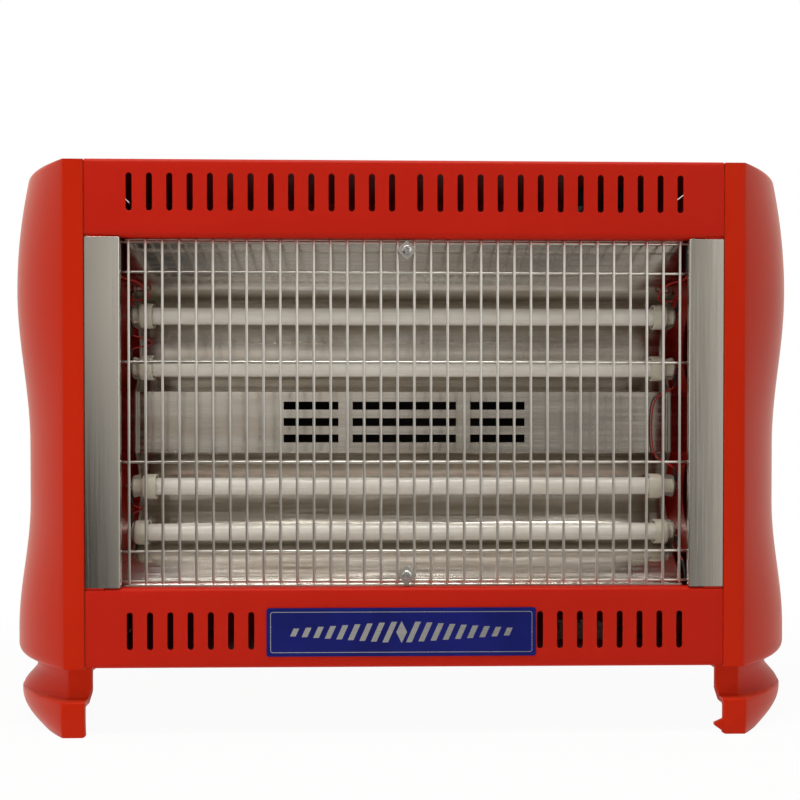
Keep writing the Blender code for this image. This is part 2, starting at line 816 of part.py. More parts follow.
clip_rear = upright_y - wire / 2 - seam
for word, z in (("top", top_screw_z), ("bottom", bottom_screw_z)):
    reach = clip_side / math.sqrt(2)
    bm = bmesh.new()
    corners = ((0, 1), (1, 0), (0, -1), (-1, 0))
    add_prism(bm, [(screw_x + reach * a, clip_rear - clip_thick, z + reach * b) for a, b in corners],
              (0, clip_thick, 0))
    clip = place(bm, "grille_clip_" + word, zinc_steel)
    bm = bmesh.new()
    add_rod(bm, (screw_x, clip_rear - 2 * clip_thick, z), (screw_x, clip_rear + clip_thick, z),
            screw_shank / 2 + fit_gap, 12)
    boolean(clip, as_cutter(place(bm, "clip_hole_" + word, None, cutters)), "DIFFERENCE")
    turned("grille_screw_" + word, [
        (0.0, screw_head_height),
        (screw_head * 0.30, screw_head_height * 0.9),
        (screw_head / 2, screw_head_height * 0.35),
        (screw_head / 2, 0.0),
        (screw_shank / 2, 0.0),
        (screw_shank / 2, -screw_length),
        (0.0, -screw_length),
    ], zinc_steel, (screw_x, clip_rear - clip_thick - seam, z), (0, -1, 0), 12)


# Quartz tubes, their elements, ceramic caps and terminals

upper_middle = band_top + trough_height / 2
lower_middle = band_bottom - trough_height / 2
tube_heights = (
    upper_middle + upper_pair_shift + upper_pair_pitch / 2,
    upper_middle + upper_pair_shift - upper_pair_pitch / 2,
    lower_middle + lower_pair_shift + lower_pair_pitch / 2,
    lower_middle + lower_pair_shift - lower_pair_pitch / 2,
)
tube_y = front_y + tube_depth
tube_radius = tube_diameter / 2
bore = tube_radius + fit_gap
pin_bore = pin_diameter / 2 + fit_gap
for number, z in enumerate(tube_heights, 1):
    ends = (left_mouths[number - 1], right_mouths[number - 1])
    length = ends[0] + ends[1] + 2 * tube_entry
    tube_bore = tube_radius - tube_wall
    start = -ends[0] - tube_entry
    turned("quartz_tube_%d" % number,
           [(tube_bore, length), (tube_radius, length), (tube_radius, 0.0), (tube_bore, 0.0)],
           quartz, (start, tube_y, z), (1, 0, 0), 16)
    coil_low, coil_high = -ends[0] + coil_inset, ends[1] - coil_inset
    coil, pin = coil_diameter / 2, pin_diameter / 2
    turned("heating_element_%d" % number,
           [(0.0, neck_end), (pin, neck_end), (pin, coil_high), (coil, coil_high),
            (coil, coil_low), (pin, coil_low), (pin, -neck_end), (0.0, -neck_end)],
           coil_metal, (0, tube_y, z), (1, 0, 0), 10)
    for side, word, mouth in ((-1, "left", ends[0]), (1, "right", ends[1])):
        neck = neck_end - mouth
        turned("ceramic_cap_%s_%d" % (word, number),
               [(pin_bore, neck), (neck_diameter / 2, neck), (neck_diameter / 2, cap_length),
                (cap_diameter / 2 - cap_edge, cap_length),
                (cap_diameter / 2, cap_length - cap_taper),
                (cap_diameter / 2, 0.0), (cap_diameter / 2 - mouth_rim, 0.0),
                (cap_diameter / 2 - mouth_rim, mouth_depth), (bore, mouth_depth),
                (bore, tube_entry + fit_gap), (pin_bore, tube_entry + fit_gap)],
               ceramic, (side * mouth, tube_y, z), (side, 0, 0), 12)
        turned("terminal_%s_%d" % (word, number),
               [(0.0, terminal_thick + stud_length), (pin, terminal_thick + stud_length),
                (pin, terminal_thick), (terminal_across / 2, terminal_thick),
                (terminal_across / 2, 0.0), (0.0, 0.0)],
               zinc_steel, (side * (neck_end + seam), tube_y, z), (side, 0, 0), 10)


# Comb brackets: one ear for each pair of necks, trimmed to the reflector

for side, word in ((-1, "left"), (1, "right")):
    low = side * bracket_plane - bracket_sheet / 2
    run = [(front_y + depth - bracket_gap, z) for depth, z in trough_run]
    deep = front_y + band_depth + trough_sag + bracket_band
    bm = bmesh.new()
    add_prism(bm, [(low, y - bracket_band, z) for y, z in run]
              + [(low, y + bracket_gap, z) for y, z in reversed(run)], (bracket_sheet, 0, 0))
    bracket = place(bm, "tube_bracket_" + word, zinc_steel)
    bm = bmesh.new()
    ear = neck_diameter / 2 + ear_margin
    for z in tube_heights:
        arc = [(low, tube_y - ear * math.sin(math.pi * step / 6), z - ear * math.cos(math.pi * step / 6))
               for step in range(7)]
        add_prism(bm, arc + [(low, deep, z + ear), (low, deep, z - ear)], (bracket_sheet, 0, 0))
    boolean(bracket, as_cutter(place(bm, "bracket_ears_" + word, None, cutters)), "UNION")
    bm = bmesh.new()
    over = bracket_sheet
    add_prism(bm, [(low - over, y, z) for y, z in run]
              + [(low - over, deep + 0.01, run[-1][1] - 0.01), (low - over, deep + 0.01, run[0][1] + 0.01)],
              (3 * over, 0, 0))
    boolean(bracket, as_cutter(place(bm, "bracket_trim_" + word, None, cutters)), "DIFFERENCE")
    bm = bmesh.new()
    for z in tube_heights:
        add_rod(bm, (low - over, tube_y, z), (low + 2 * over, tube_y, z), neck_diameter / 2 + fit_gap, 12)
    boolean(bracket, as_cutter(place(bm, "bracket_bores_" + word, None, cutters)), "DIFFERENCE")


# Badge plate, left bare

half_w, half_h = badge_width / 2 - badge_corner, badge_height / 2 - badge_corner
badge_outline = []
for cx, cz, first in ((half_w, half_h, 0), (-half_w, half_h, 1), (-half_w, -half_h, 2), (half_w, -half_h, 3)):
    for step in range(4):
        angle = math.pi / 2 * (first + step / 3)
        badge_outline.append((badge_x + cx + badge_corner * math.cos(angle), front_y - seam - badge_thick,
                              body_bottom + badge_rise + cz + badge_corner * math.sin(angle)))
bm = bmesh.new()
add_prism(bm, badge_outline, (0, badge_thick, 0))
place(bm, "badge_plate", badge_blue)


# Rocker switches

pivot_z = body_top + seam + bezel_height - rocker_rise
rocker_half = housing_length / 2 - housing_wall - rocker_gap
rocker_width = housing_width - 2 * housing_wall - 2 * rocker_gap
cut = bmesh.new()
for number in (1, 2):
    x = switch_first_x + (number - 1) * switch_pitch
    housing = box("switch_housing_%d" % number,
                  (x - bezel_width / 2, switch_y - bezel_length / 2, body_top + seam),
                  (x + bezel_width / 2, switch_y + bezel_length / 2, body_top + seam + bezel_height),
                  black_plastic)
    half_x, half_y = housing_width / 2, housing_length / 2
    body = box("switch_body_%d" % number,
               (x - half_x, switch_y - half_y, body_top - housing_depth),
               (x + half_x, switch_y + half_y, body_top + seam + bezel_height / 2), None, cutters)
    boolean(housing, as_cutter(body), "UNION")
    bm = bmesh.new()
    add_box(bm, (x - half_x + housing_wall, switch_y - half_y + housing_wall,
                 body_top - housing_depth + 3 * housing_wall),
            (x + half_x - housing_wall, switch_y + half_y - housing_wall,
             body_top + seam + 2 * bezel_height))
    boolean(housing, as_cutter(place(bm, "switch_well_%d" % number, None, cutters)), "DIFFERENCE")
    bm = bmesh.new()
    add_rod(bm, (x - half_x - housing_wall, switch_y, pivot_z),
            (x + half_x + housing_wall, switch_y, pivot_z), trunnion_diameter / 2 + fit_gap, 12)
    boolean(housing, as_cutter(place(bm, "trunnion_holes_%d" % number, None, cutters)), "DIFFERENCE")
    add_box(cut, (x - half_x - seam, switch_y - half_y - seam, body_top - 2 * sheet),
            (x + half_x + seam, switch_y + half_y + seam, body_top + sheet))

    bm = bmesh.new()
    tip = rocker_half - rocker_end_gap
    under = rocker_rise - rocker_thick
    side_view = [(-tip, rocker_rise + rocker_tip_lift), (0.0, rocker_rise), (tip, rocker_rise + rocker_tip_lift),
                 (tip - rocker_skirt_in, -rocker_skirt), (rocker_keel, under), (-rocker_keel, under),
                 (rocker_skirt_in - tip, -rocker_skirt)]
    add_prism(bm, [(-rocker_width / 2, y, z) for y, z in side_view], (rocker_width, 0, 0))
    rocker = place(bm, "rocker_%d" % number, switch_red)
    bm = bmesh.new()
    trunnion_half = rocker_width / 2 + rocker_gap + trunnion_reach
    add_rod(bm, (-trunnion_half, 0, 0), (trunnion_half, 0, 0), trunnion_diameter / 2, 12)
    trunnion = place(bm, "rocker_trunnion_%d" % number, None, cutters)
    trunnion.parent = rocker
    boolean(rocker, as_cutter(trunnion), "UNION")
    rocker.location = (x, switch_y, pivot_z)
    rocker.rotation_euler = (math.radians(-rocker_tilt), 0, 0)
boolean(top_cover, as_cutter(place(cut, "switch_cutouts", None, cutters)), "DIFFERENCE")


# Wiring, held inside the body all the way: thin leads whose ends wear a sleeve at each terminal.
# Each stop's figures are placed by eye, and change how a lead lies rather than what it joins.

lead_x = neck_end + seam + terminal_thick / 2
contact = terminal_across / 2 + 2 * seam


def sleeved_end(side, number, away):
    """The sleeved end of a lead at a terminal, leaving it up (1) or down (-1)."""
    z = tube_heights[number - 1]
    return [(side * lead_x, tube_y, z + away * contact, sleeve_diameter),
            (side * (lead_x - sleeve_lean * 0.3), tube_y, z + away * sleeve_reach * 0.6, sleeve_diameter),
            (side * (lead_x - sleeve_lean), tube_y, z + away * sleeve_reach, lead_diameter)]


def link(name, side, upper, lower, inner_x, hang):
    """A lead between the terminals of two tubes at one end, drawn in behind their caps."""
    top, bottom = tube_heights[upper - 1] - sleeve_reach, tube_heights[lower - 1] + sleeve_reach
    high, low = top - (top - bottom) * hang, bottom + (top - bottom) * hang
    stops = sleeved_end(side, upper, -1)
    stops += [(side * inner_x, tube_y + link_depth, z, lead_diameter) for z in (high, low)]
    stops += reversed(sleeved_end(side, lower, 1))
    return wire_curve(name, stops, black_sleeve)


link("lead_link_left_upper", -1, 1, 2, link_x, 0.35)
link("lead_link_left_lower", -1, 3, 4, (link_x + lead_x) / 2, 0.40)
link("lead_link_right", 1, 2, 3, band_link_x, 0.20)

corner_y = front_y + corner_depth
for side, word, number in ((-1, "left", 1), (1, "right", 2)):
    switch_x = switch_first_x + (number - 1) * switch_pitch
    top = tube_heights[0]
    landing = body_top - housing_depth - seam
    stops = sleeved_end(side, 1, 1)[:1] + [
        (side * (lead_x - 0.0006), tube_y - 0.003, top + 0.0118, lead_diameter),
        (side * 0.2010, tube_y - 0.003, top + 0.0122, lead_diameter),
        (side * 0.1970, tube_y - 0.005, top + 0.0160, lead_diameter),
        (side * 0.2040, tube_y - 0.009, top + 0.0245, lead_diameter),
        (side * (corner_x - 0.001), corner_y + 0.004, opening_top - 0.0275, lead_diameter),
        (side * corner_x, corner_y, opening_top - 0.022, supply_sleeve_diameter),
        (side * corner_x, corner_y, opening_top - 0.002, supply_sleeve_diameter),
        (side * corner_x, corner_y + 0.006, opening_top + 0.016, supply_sleeve_diameter),
        (side * (corner_x - 0.010), corner_y + 0.020, opening_top + 0.022, supply_sleeve_diameter)]
    if side < 0:
        stops += [(-0.120, corner_y + 0.022, opening_top + 0.020, supply_sleeve_diameter),
                  (0.0, corner_y + 0.022, opening_top + 0.018, supply_sleeve_diameter),
                  (0.110, corner_y + 0.026, opening_top + 0.020, supply_sleeve_diameter)]
    stops += [(switch_x, switch_y - 0.004, landing - 0.012, supply_sleeve_diameter),
              (switch_x, switch_y, landing - 0.005, supply_sleeve_diameter),
              (switch_x, switch_y, landing, supply_sleeve_diameter)]
    wire_curve("lead_supply_" + word, stops, black_sleeve)

block_z = block_floor + block_height * block_entry_share
block_middle, block_end = block_y + block_width / 2, block_x + block_length / 2
stops = [(lead_x, y - forward, z, sleeve_diameter)
         for (_, y, z, _), forward in zip(sleeved_end(1, 4, -1), (0.0, 0.0012, 0.0056))]
stops += [
    (corner_x, corner_y + 0.0095, opening_bottom + 0.0165, sleeve_diameter),
    (corner_x, corner_y + 0.002, opening_bottom + 0.005, sleeve_diameter),
    (corner_x, corner_y + 0.004, opening_bottom - 0.012, sleeve_diameter),
    (corner_x - 0.014, corner_y + 0.020, block_z + 0.002, sleeve_diameter),
    (block_end + 0.012, block_middle - 0.006, block_z, sleeve_diameter),
    (block_end + seam, block_middle, block_z, sleeve_diameter)]
wire_curve("lead_return", stops, black_sleeve)
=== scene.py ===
"""Looks of a four-tube quartz heater: sheet-metal body, moulded ends, tubes behind a wire grille.

Metres, +Z up, front towards -Y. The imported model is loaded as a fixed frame, and every
finer piece below takes its place from it.
"""
import math

import bmesh
import bpy
import numpy as np
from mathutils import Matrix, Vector


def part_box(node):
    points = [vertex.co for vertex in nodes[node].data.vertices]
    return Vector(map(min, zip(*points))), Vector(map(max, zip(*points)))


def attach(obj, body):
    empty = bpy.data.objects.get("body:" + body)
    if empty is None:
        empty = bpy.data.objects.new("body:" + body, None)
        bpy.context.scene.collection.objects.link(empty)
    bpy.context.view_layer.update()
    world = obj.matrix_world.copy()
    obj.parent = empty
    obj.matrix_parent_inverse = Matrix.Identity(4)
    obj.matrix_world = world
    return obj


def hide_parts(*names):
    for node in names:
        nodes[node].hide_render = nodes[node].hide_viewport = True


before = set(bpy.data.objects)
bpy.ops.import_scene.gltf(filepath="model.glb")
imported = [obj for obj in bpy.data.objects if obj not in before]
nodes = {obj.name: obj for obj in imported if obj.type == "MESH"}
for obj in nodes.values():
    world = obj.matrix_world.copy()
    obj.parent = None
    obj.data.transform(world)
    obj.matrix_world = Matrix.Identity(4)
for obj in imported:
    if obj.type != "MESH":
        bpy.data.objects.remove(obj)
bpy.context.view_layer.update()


# Top cover and bottom pan: 1 mm steel sheet, pierced with upright slots, then folded round the
# front and the rear. Both are powder coated in deep red, which leaves a fine orange peel and
# rounds every cut edge.

def new_finish(name, **plain):
    """A material with a Principled BSDF, whose plain values are set by socket name."""
    finish = bpy.data.materials.new(name)
    finish.use_nodes = True
    shader = finish.node_tree.nodes["Principled BSDF"]
    for socket, value in plain.items():
        shader.inputs[socket.replace("_", " ")].default_value = value
    return finish


def add_node(tree, kind, settings=None, **plugs):
    """One node: settings are its properties, and each plug is a socket to link or a plain value. A
    plug called i and a number names its socket by that number."""
    node = tree.nodes.new(kind)
    for key, value in (settings or {}).items():
        setattr(node, key, value)
    for key, value in plugs.items():
        numbered = key[0] == "i" and key[1:].isdigit()
        socket = node.inputs[int(key[1:]) if numbered else key.replace("_", " ")]
        if isinstance(value, bpy.types.NodeSocket):
            tree.links.new(value, socket)
        else:
            socket.default_value = value
    return node


def object_place(tree, scale=(1, 1, 1)):
    """Object coordinates, stretched by a Mapping node."""
    spot = add_node(tree, "ShaderNodeTexCoord").outputs["Object"]
    return add_node(tree, "ShaderNodeMapping", Vector=spot, Scale=scale).outputs[0]


def new_group(name, inputs, outputs):
    """An empty shader node group with named float, vector or colour sockets."""
    group = bpy.data.node_groups.new(name, "ShaderNodeTree")
    kinds = {"float": "NodeSocketFloat", "vector": "NodeSocketVector", "colour": "NodeSocketColor"}
    for label, kind, value in inputs:
        socket = group.interface.new_socket(label, in_out="INPUT", socket_type=kinds[kind])
        if value is not None:
            socket.default_value = value
    for label, kind in outputs:
        group.interface.new_socket(label, in_out="OUTPUT", socket_type=kinds[kind])
    return group, group.nodes.new("NodeGroupInput"), group.nodes.new("NodeGroupOutput")


def lay_group(finish, group, depth, **plugs):
    """Place a node group in a material, and let its colour, roughness and height drive the shader.
    Depth is the real height in metres that the group's height stands for."""
    tree = finish.node_tree
    shader = tree.nodes["Principled BSDF"]
    node = add_node(tree, "ShaderNodeGroup", {"node_tree": group}, **plugs)
    bump = add_node(tree, "ShaderNodeBump", Height=node.outputs["Height"], Distance=depth, Strength=1.0)
    tree.links.new(node.outputs["Colour"], shader.inputs["Base Color"])
    tree.links.new(bump.outputs[0], shader.inputs["Normal"])
    if "Roughness" in node.outputs:
        tree.links.new(node.outputs["Roughness"], shader.inputs["Roughness"])
    return finish


def build_surface_grain():
    """Group: fine pebbled height and a slow cloud that shifts colour and roughness a little."""
    group, given, result = new_group(
        "surface_grain",
        [("Vector", "vector", None), ("Pebble Scale", "float", 900.0), ("Cloud Scale", "float", 9.0),
         ("Colour", "colour", (0.5, 0.5, 0.5, 1)), ("Tone Shift", "float", 0.06),
         ("Roughness", "float", 0.4), ("Roughness Shift", "float", 0.06)],
        [("Colour", "colour"), ("Roughness", "float"), ("Height", "float")])
    pebble = add_node(group, "ShaderNodeTexNoise", Vector=given.outputs["Vector"],
                      Scale=given.outputs["Pebble Scale"], Detail=2.0, Roughness=0.55)
    cloud = add_node(group, "ShaderNodeTexNoise", Vector=given.outputs["Vector"],
                     Scale=given.outputs["Cloud Scale"], Detail=3.0, Roughness=0.6)
    swing = add_node(group, "ShaderNodeMapRange", Value=cloud.outputs[0], From_Min=0.3, From_Max=0.7,
                     To_Min=-1.0, To_Max=1.0)
    tone = add_node(group, "ShaderNodeMath", {"operation": "MULTIPLY_ADD"}, i0=swing.outputs[0],
                    i1=given.outputs["Tone Shift"], i2=1.0)
    colour = add_node(group, "ShaderNodeVectorMath", {"operation": "SCALE"}, i0=given.outputs["Colour"],
                      Scale=tone.outputs[0])
    rough = add_node(group, "ShaderNodeMath", {"operation": "MULTIPLY_ADD", "use_clamp": True},
                     i0=swing.outputs[0], i1=given.outputs["Roughness Shift"], i2=given.outputs["Roughness"])
    group.links.new(colour.outputs[0], result.inputs["Colour"])
    group.links.new(rough.outputs[0], result.inputs["Roughness"])
    group.links.new(pebble.outputs[0], result.inputs["Height"])
    return group


surface_grain = build_surface_grain()


def grained_finish(name, colour, roughness, pebble, depth, tone=0.05, cloud=9.0, **plain):
    """A finish with fine grain: pebble is its scale per metre, and depth its height in metres."""
    finish = new_finish(name, **plain)
    return lay_group(finish, surface_grain, depth, Vector=object_place(finish.node_tree),
                     Pebble_Scale=pebble, Cloud_Scale=cloud, Colour=(*colour, 1), Tone_Shift=tone,
                     Roughness=roughness, Roughness_Shift=0.05)


def patch_mesh(name, grids, sharp=40.0):
    """One piece from grids of points, each rows by columns by 3. Neighbouring rows and columns become
    four-sided faces, apart from those in a grid's skip mask, and points that meet are merged."""
    spots, quads, start = [], [], 0
    for grid in grids:
        points, skip = grid if isinstance(grid, tuple) else (grid, None)
        rows, columns = points.shape[:2]
        index = np.arange(rows * columns).reshape(rows, columns) + start
        corners = np.stack([index[:-1, :-1], index[:-1, 1:], index[1:, 1:], index[1:, :-1]], -1)
        quads.append(corners[~skip] if skip is not None else corners.reshape(-1, 4))
        spots.append(points.reshape(-1, 3))
        start += rows * columns
    mesh = bpy.data.meshes.new(name)
    mesh.from_pydata(np.concatenate(spots).tolist(), [], np.concatenate(quads).tolist())
    bm = bmesh.new()
    bm.from_mesh(mesh)
    bmesh.ops.remove_doubles(bm, verts=bm.verts, dist=2e-6)
    bmesh.ops.dissolve_degenerate(bm, edges=bm.edges, dist=1e-7)
    bmesh.ops.delete(bm, geom=[v for v in bm.verts if not v.link_faces], context="VERTS")
    bmesh.ops.recalc_face_normals(bm, faces=bm.faces)
    bm.to_mesh(mesh)
    bm.free()
    mesh.shade_smooth()
    mesh.set_sharp_from_angle(angle=math.radians(sharp))
    item = bpy.data.objects.new(name, mesh)
    bpy.context.scene.collection.objects.link(item)
    return item


def dress(item, finish, slot, *replaced, body="heater"):
    """Give a piece its material, seat it on its body and let it stand for CAD nodes. Its slot is not used.
    """
    item.data.materials.clear()
    item.data.materials.append(finish)
    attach(item, body)
    if replaced:
        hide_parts(*replaced)


def add_gauge(item, gauge, rounding):
    """Give an open surface its thickness, half to each side, and round its cut edges."""
    wall = item.modifiers.new("gauge", "SOLIDIFY")
    wall.thickness = gauge
    wall.offset = 0.0
    edge = item.modifiers.new("cut_edges", "BEVEL")
    edge.width = rounding
    edge.segments = 2
    edge.limit_method = "ANGLE"
    edge.angle_limit = math.radians(60)
    edge.harden_normals = True


def folded_line(corners, radius, steps=8):
    """Points (n by 2) of a line whose inner corners are arcs. Each arc leaves its corner's two legs
    at radius * tan(turn / 2) from the corner and swings about a hub on the inside of the bend."""
    corners = [np.array(corner, float) for corner in corners]
    points = [corners[0][None]]
    for before, corner, after in zip(corners, corners[1:], corners[2:]):
        into = (corner - before) / np.linalg.norm(corner - before)
        out = (after - corner) / np.linalg.norm(after - corner)
        turn = math.acos(np.clip(into @ out, -1, 1))
        start = corner - into * radius * math.tan(turn / 2)
        side = out - into * (into @ out)
        side /= np.linalg.norm(side)
        angle = np.linspace(0, turn, steps + 1)[:, None]
        points.append(start + side * radius * (1 - np.cos(angle)) + into * radius * np.sin(angle))
    points.append(corners[-1][None])
    return np.concatenate(points)


def slot_ring(centre, slot, cell, arc_steps=8, side_steps=6):
    """Two rings of points (2 by n by 2) from a round-ended slot out to the rectangle of its cell:
    up the right side, over the top, down the left side and back under the bottom."""
    across, along = slot[0] / 2, slot[1] / 2 - slot[0] / 2
    rise = np.linspace(-1, 1, side_steps + 1)[:-1]
    turn = np.linspace(0, 1, arc_steps + 1)[:-1]
    one, half_turn = np.ones_like, math.pi * turn
    inner = np.concatenate([
        np.stack([across * one(rise), along * rise], 1),
        np.stack([across * np.cos(half_turn), along + across * np.sin(half_turn)], 1)])
    outer = np.concatenate([
        np.stack([cell[0] / 2 * one(rise), cell[1] / 2 * rise], 1),
        np.stack([cell[0] / 2 * (1 - 2 * turn), cell[1] / 2 * one(turn)], 1)])
    inner, outer = np.concatenate([inner, -inner, inner[:1]]), np.concatenate([outer, -outer, outer[:1]])
    return np.stack([inner, outer]) + np.array(centre)


def stand_up(flat, y):
    """Flat (x, z) points stood upright in the plane at y."""
    return np.stack([flat[..., 0], np.full(flat.shape[:-1], y), flat[..., 1]], -1)


def across_columns(line, columns, skip=None):
    """A line in the Y-Z plane carried along X: rows by columns by 3. A skip function, where there
    is one, gives the mask of the faces to leave out."""
    points = np.empty((len(line), len(columns), 3))
    points[:, :, 0] = columns
    points[:, :, 1:] = line[:, None]
    return points if skip is None else (points, skip(points))


sheet_gauge = 0.001
sheet_bend = 0.003
cut_edge = 0.0003
fascia_slot = (0.0044, 0.0278)
slot_pitch = 0.0149
slot_inner_half = 0.0104
slots_per_side = 14
bottom_slot_counts = (7, 8)
top_slot_drop = 0.0247
bottom_slot_rise = 0.0278
cell_height = 0.034
return_notch = 0.0143
cover_low, cover_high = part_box("top_cover")
pan_low, pan_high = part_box("bottom_pan")
front_y, body_top, body_bottom, body_half = cover_low.y, cover_high.z, pan_low.z, cover_high.x
opening_top, opening_bottom = cover_low.z, pan_high.z
# Its specular answers the lamps, but the warm tint on it is painted reflection of a warm room.
red_coat = grained_finish("red_powder_coat", (0.50, 0.011, 0.003), 0.42, 1500.0, 0.00002, tone=0.035,
                          Specular_IOR_Level=0.16, Specular_Tint=(1.0, 0.80, 0.62, 1))


def slotted_cover(name, before, after, centres, slot_z, holes):
    """A folded cover: the folded lines before and after the fascia's slotted band are carried
    across the body, and the band between them is filled with slot cells and plain stretches."""
    half_cell, notch_x = slot_pitch / 2, body_half - return_notch
    edges = [-body_half, body_half, -notch_x, notch_x] + [x for hole in holes for x in hole[:2]]
    steps = np.linspace(-half_cell, half_cell, 9)
    columns = np.unique(np.round(np.concatenate([edges] + [centre + steps for centre in centres]), 7))

    def cut(points):
        """Mask of the faces that the notches at both ends and the deck's holes take out."""
        middle = (points[:-1, :-1] + points[1:, 1:]) / 2
        x, y = middle[..., 0], middle[..., 1]
        gone = (np.abs(x) > notch_x) & (y > front_y + sheet_gauge) & (y < front_y + 0.012)
        gone &= (middle[..., 2] < body_top - 0.01) & (middle[..., 2] > body_bottom + 0.01)
        for x0, x1, y0, y1 in holes:
            gone |= (x > x0) & (x < x1) & (y > y0) & (y < y1)
        return gone

    grids = [across_columns(before, columns, cut), across_columns(after, columns, cut)]
    face_y = front_y + sheet_gauge / 2
    for centre in centres:
        ring = slot_ring((centre, slot_z), fascia_slot, (slot_pitch, cell_height))
        grids.append(stand_up(ring, face_y))
    marks = np.concatenate([[-body_half, body_half], centres - half_cell, centres + half_cell])
    heights = slot_z + np.linspace(-cell_height / 2, cell_height / 2, 7)
    for left, right in np.sort(marks).reshape(-1, 2):
        if right - left > 1e-5:
            inner = columns[(columns > left - 1e-6) & (columns < right + 1e-6)]
            grids.append(across_columns(np.stack([np.full(7, face_y), heights], 1), inner))
    cover = patch_mesh(name, grids)
    add_gauge(cover, sheet_gauge, cut_edge)
    return cover


slot_steps = slot_inner_half + slot_pitch * np.arange(slots_per_side)
mid_y, rear_mid = front_y + sheet_gauge / 2, cover_high.y - sheet_gauge / 2
deck_z, floor_z = body_top - sheet_gauge / 2, body_bottom + sheet_gauge / 2
return_y = front_y + 0.010
rear_flange = 0.020
switch_boxes = [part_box("switch_housing_%d" % number) for number in (1, 2)]
switch_xs = [(low.x + high.x) / 2 for low, high in switch_boxes]
switch_y = (switch_boxes[0][0].y + switch_boxes[0][1].y) / 2
hole_half_x, hole_half_y = 0.0064, 0.0138
switch_holes = [(x - hole_half_x, x + hole_half_x, switch_y - hole_half_y, switch_y + hole_half_y)
                for x in switch_xs]
top_slot_z = body_top - top_slot_drop
deck_marks = [(y, deck_z) for y in switch_holes[0][2:]]
top_return_z, bottom_return_z = opening_top + sheet_gauge / 2, opening_bottom - sheet_gauge / 2
top_before = folded_line([(return_y, top_return_z), (mid_y, top_return_z),
                          (mid_y, top_slot_z - cell_height / 2)], sheet_bend)
top_after = np.concatenate([
    folded_line([(mid_y, top_slot_z + cell_height / 2), (mid_y, deck_z), deck_marks[0]], sheet_bend),
    folded_line([deck_marks[1], (rear_mid, deck_z), (rear_mid, body_top - rear_flange)], sheet_bend)])
top_cover = slotted_cover("top_cover_skin", top_before, top_after,
                          np.concatenate([-slot_steps[::-1], slot_steps]), top_slot_z, switch_holes)
dress(top_cover, red_coat, "red_powder_coat", "top_cover")

bottom_slot_z = body_bottom + bottom_slot_rise
pan_before = folded_line([(return_y, bottom_return_z), (mid_y, bottom_return_z),
                          (mid_y, bottom_slot_z + cell_height / 2)], sheet_bend)
pan_after = folded_line([(mid_y, bottom_slot_z - cell_height / 2), (mid_y, floor_z), (rear_mid, floor_z),
                         (rear_mid, body_bottom + rear_flange)], sheet_bend)
bottom_centres = np.concatenate([-slot_steps[slots_per_side - bottom_slot_counts[0]:][::-1],
                                 slot_steps[slots_per_side - bottom_slot_counts[1]:]])
bottom_pan = slotted_cover("bottom_pan_skin", pan_before, pan_after, bottom_centres, bottom_slot_z, [])
dress(bottom_pan, red_coat, "red_powder_coat", "bottom_pan")


# Rear panel, end plates and tube brackets: the panel is sheet coated in black, pierced with lying
# vent slots and a round hole for the cord, and screwed on at its corners. Its black is also painted
# shade: it makes the chamber seen through the reflector's vents dark. The end plates are red like
# the covers, and the comb brackets behind the caps are plain zinc-plated steel.

def build_brushed_streaks():
    """Group: rolling streaks along the stretched axis of Vector, blotches and a height."""
    group, given, result = new_group(
        "brushed_streaks",
        [("Vector", "vector", None), ("Blotch Vector", "vector", None), ("Streak Contrast", "float", 0.12),
         ("Colour", "colour", (0.6, 0.6, 0.6, 1)), ("Stain", "colour", (0.4, 0.35, 0.3, 1)),
         ("Stain Amount", "float", 0.2), ("Roughness", "float", 0.25), ("Roughness Shift", "float", 0.1)],
        [("Colour", "colour"), ("Roughness", "float"), ("Height", "float")])
    streak = add_node(group, "ShaderNodeTexNoise", Vector=given.outputs["Vector"], Scale=1.0, Detail=4.0,
                      Roughness=0.65)
    blotch = add_node(group, "ShaderNodeTexNoise", Vector=given.outputs["Blotch Vector"], Scale=1.0,
                      Detail=3.0, Roughness=0.6)
    swing = add_node(group, "ShaderNodeMapRange", Value=streak.outputs[0], From_Min=0.3, From_Max=0.7,
                     To_Min=-1.0, To_Max=1.0)
    tone = add_node(group, "ShaderNodeMath", {"operation": "MULTIPLY_ADD"}, i0=swing.outputs[0],
                    i1=given.outputs["Streak Contrast"], i2=1.0)
    toned = add_node(group, "ShaderNodeVectorMath", {"operation": "SCALE"}, i0=given.outputs["Colour"],
                     Scale=tone.outputs[0])
    mask = add_node(group, "ShaderNodeMapRange", Value=blotch.outputs[0], From_Min=0.45, From_Max=0.75)
    amount = add_node(group, "ShaderNodeMath", {"operation": "MULTIPLY"}, i0=mask.outputs[0],
                      i1=given.outputs["Stain Amount"])
    stained = add_node(group, "ShaderNodeMix", {"data_type": "RGBA"}, i0=amount.outputs[0],
                       i6=toned.outputs[0], i7=given.outputs["Stain"])
    rough = add_node(group, "ShaderNodeMath", {"operation": "MULTIPLY_ADD", "use_clamp": True},
                     i0=swing.outputs[0], i1=given.outputs["Roughness Shift"], i2=given.outputs["Roughness"])
    group.links.new(stained.outputs[2], result.inputs["Colour"])
    group.links.new(rough.outputs[0], result.inputs["Roughness"])
    group.links.new(streak.outputs[0], result.inputs["Height"])
    return group


brushed_streaks = build_brushed_streaks()


def streaked_metal(name, colour, stain, roughness, streaks, blotches, contrast, stain_amount, depth):
    """A metal with rolling marks: streaks and blotches are repeats per metre along X, Y and Z. The
    blotches carry the stain colour: real staining on most metals, painted reflection on the reflector.
    """
    finish = new_finish(name, Metallic=1.0)
    tree = finish.node_tree
    return lay_group(finish, brushed_streaks, depth, Vector=object_place(tree, streaks),
                     Blotch_Vector=object_place(tree, blotches), Streak_Contrast=contrast,
                     Colour=(*colour, 1), Stain=(*stain, 1), Stain_Amount=stain_amount,
                     Roughness=roughness, Roughness_Shift=0.07)


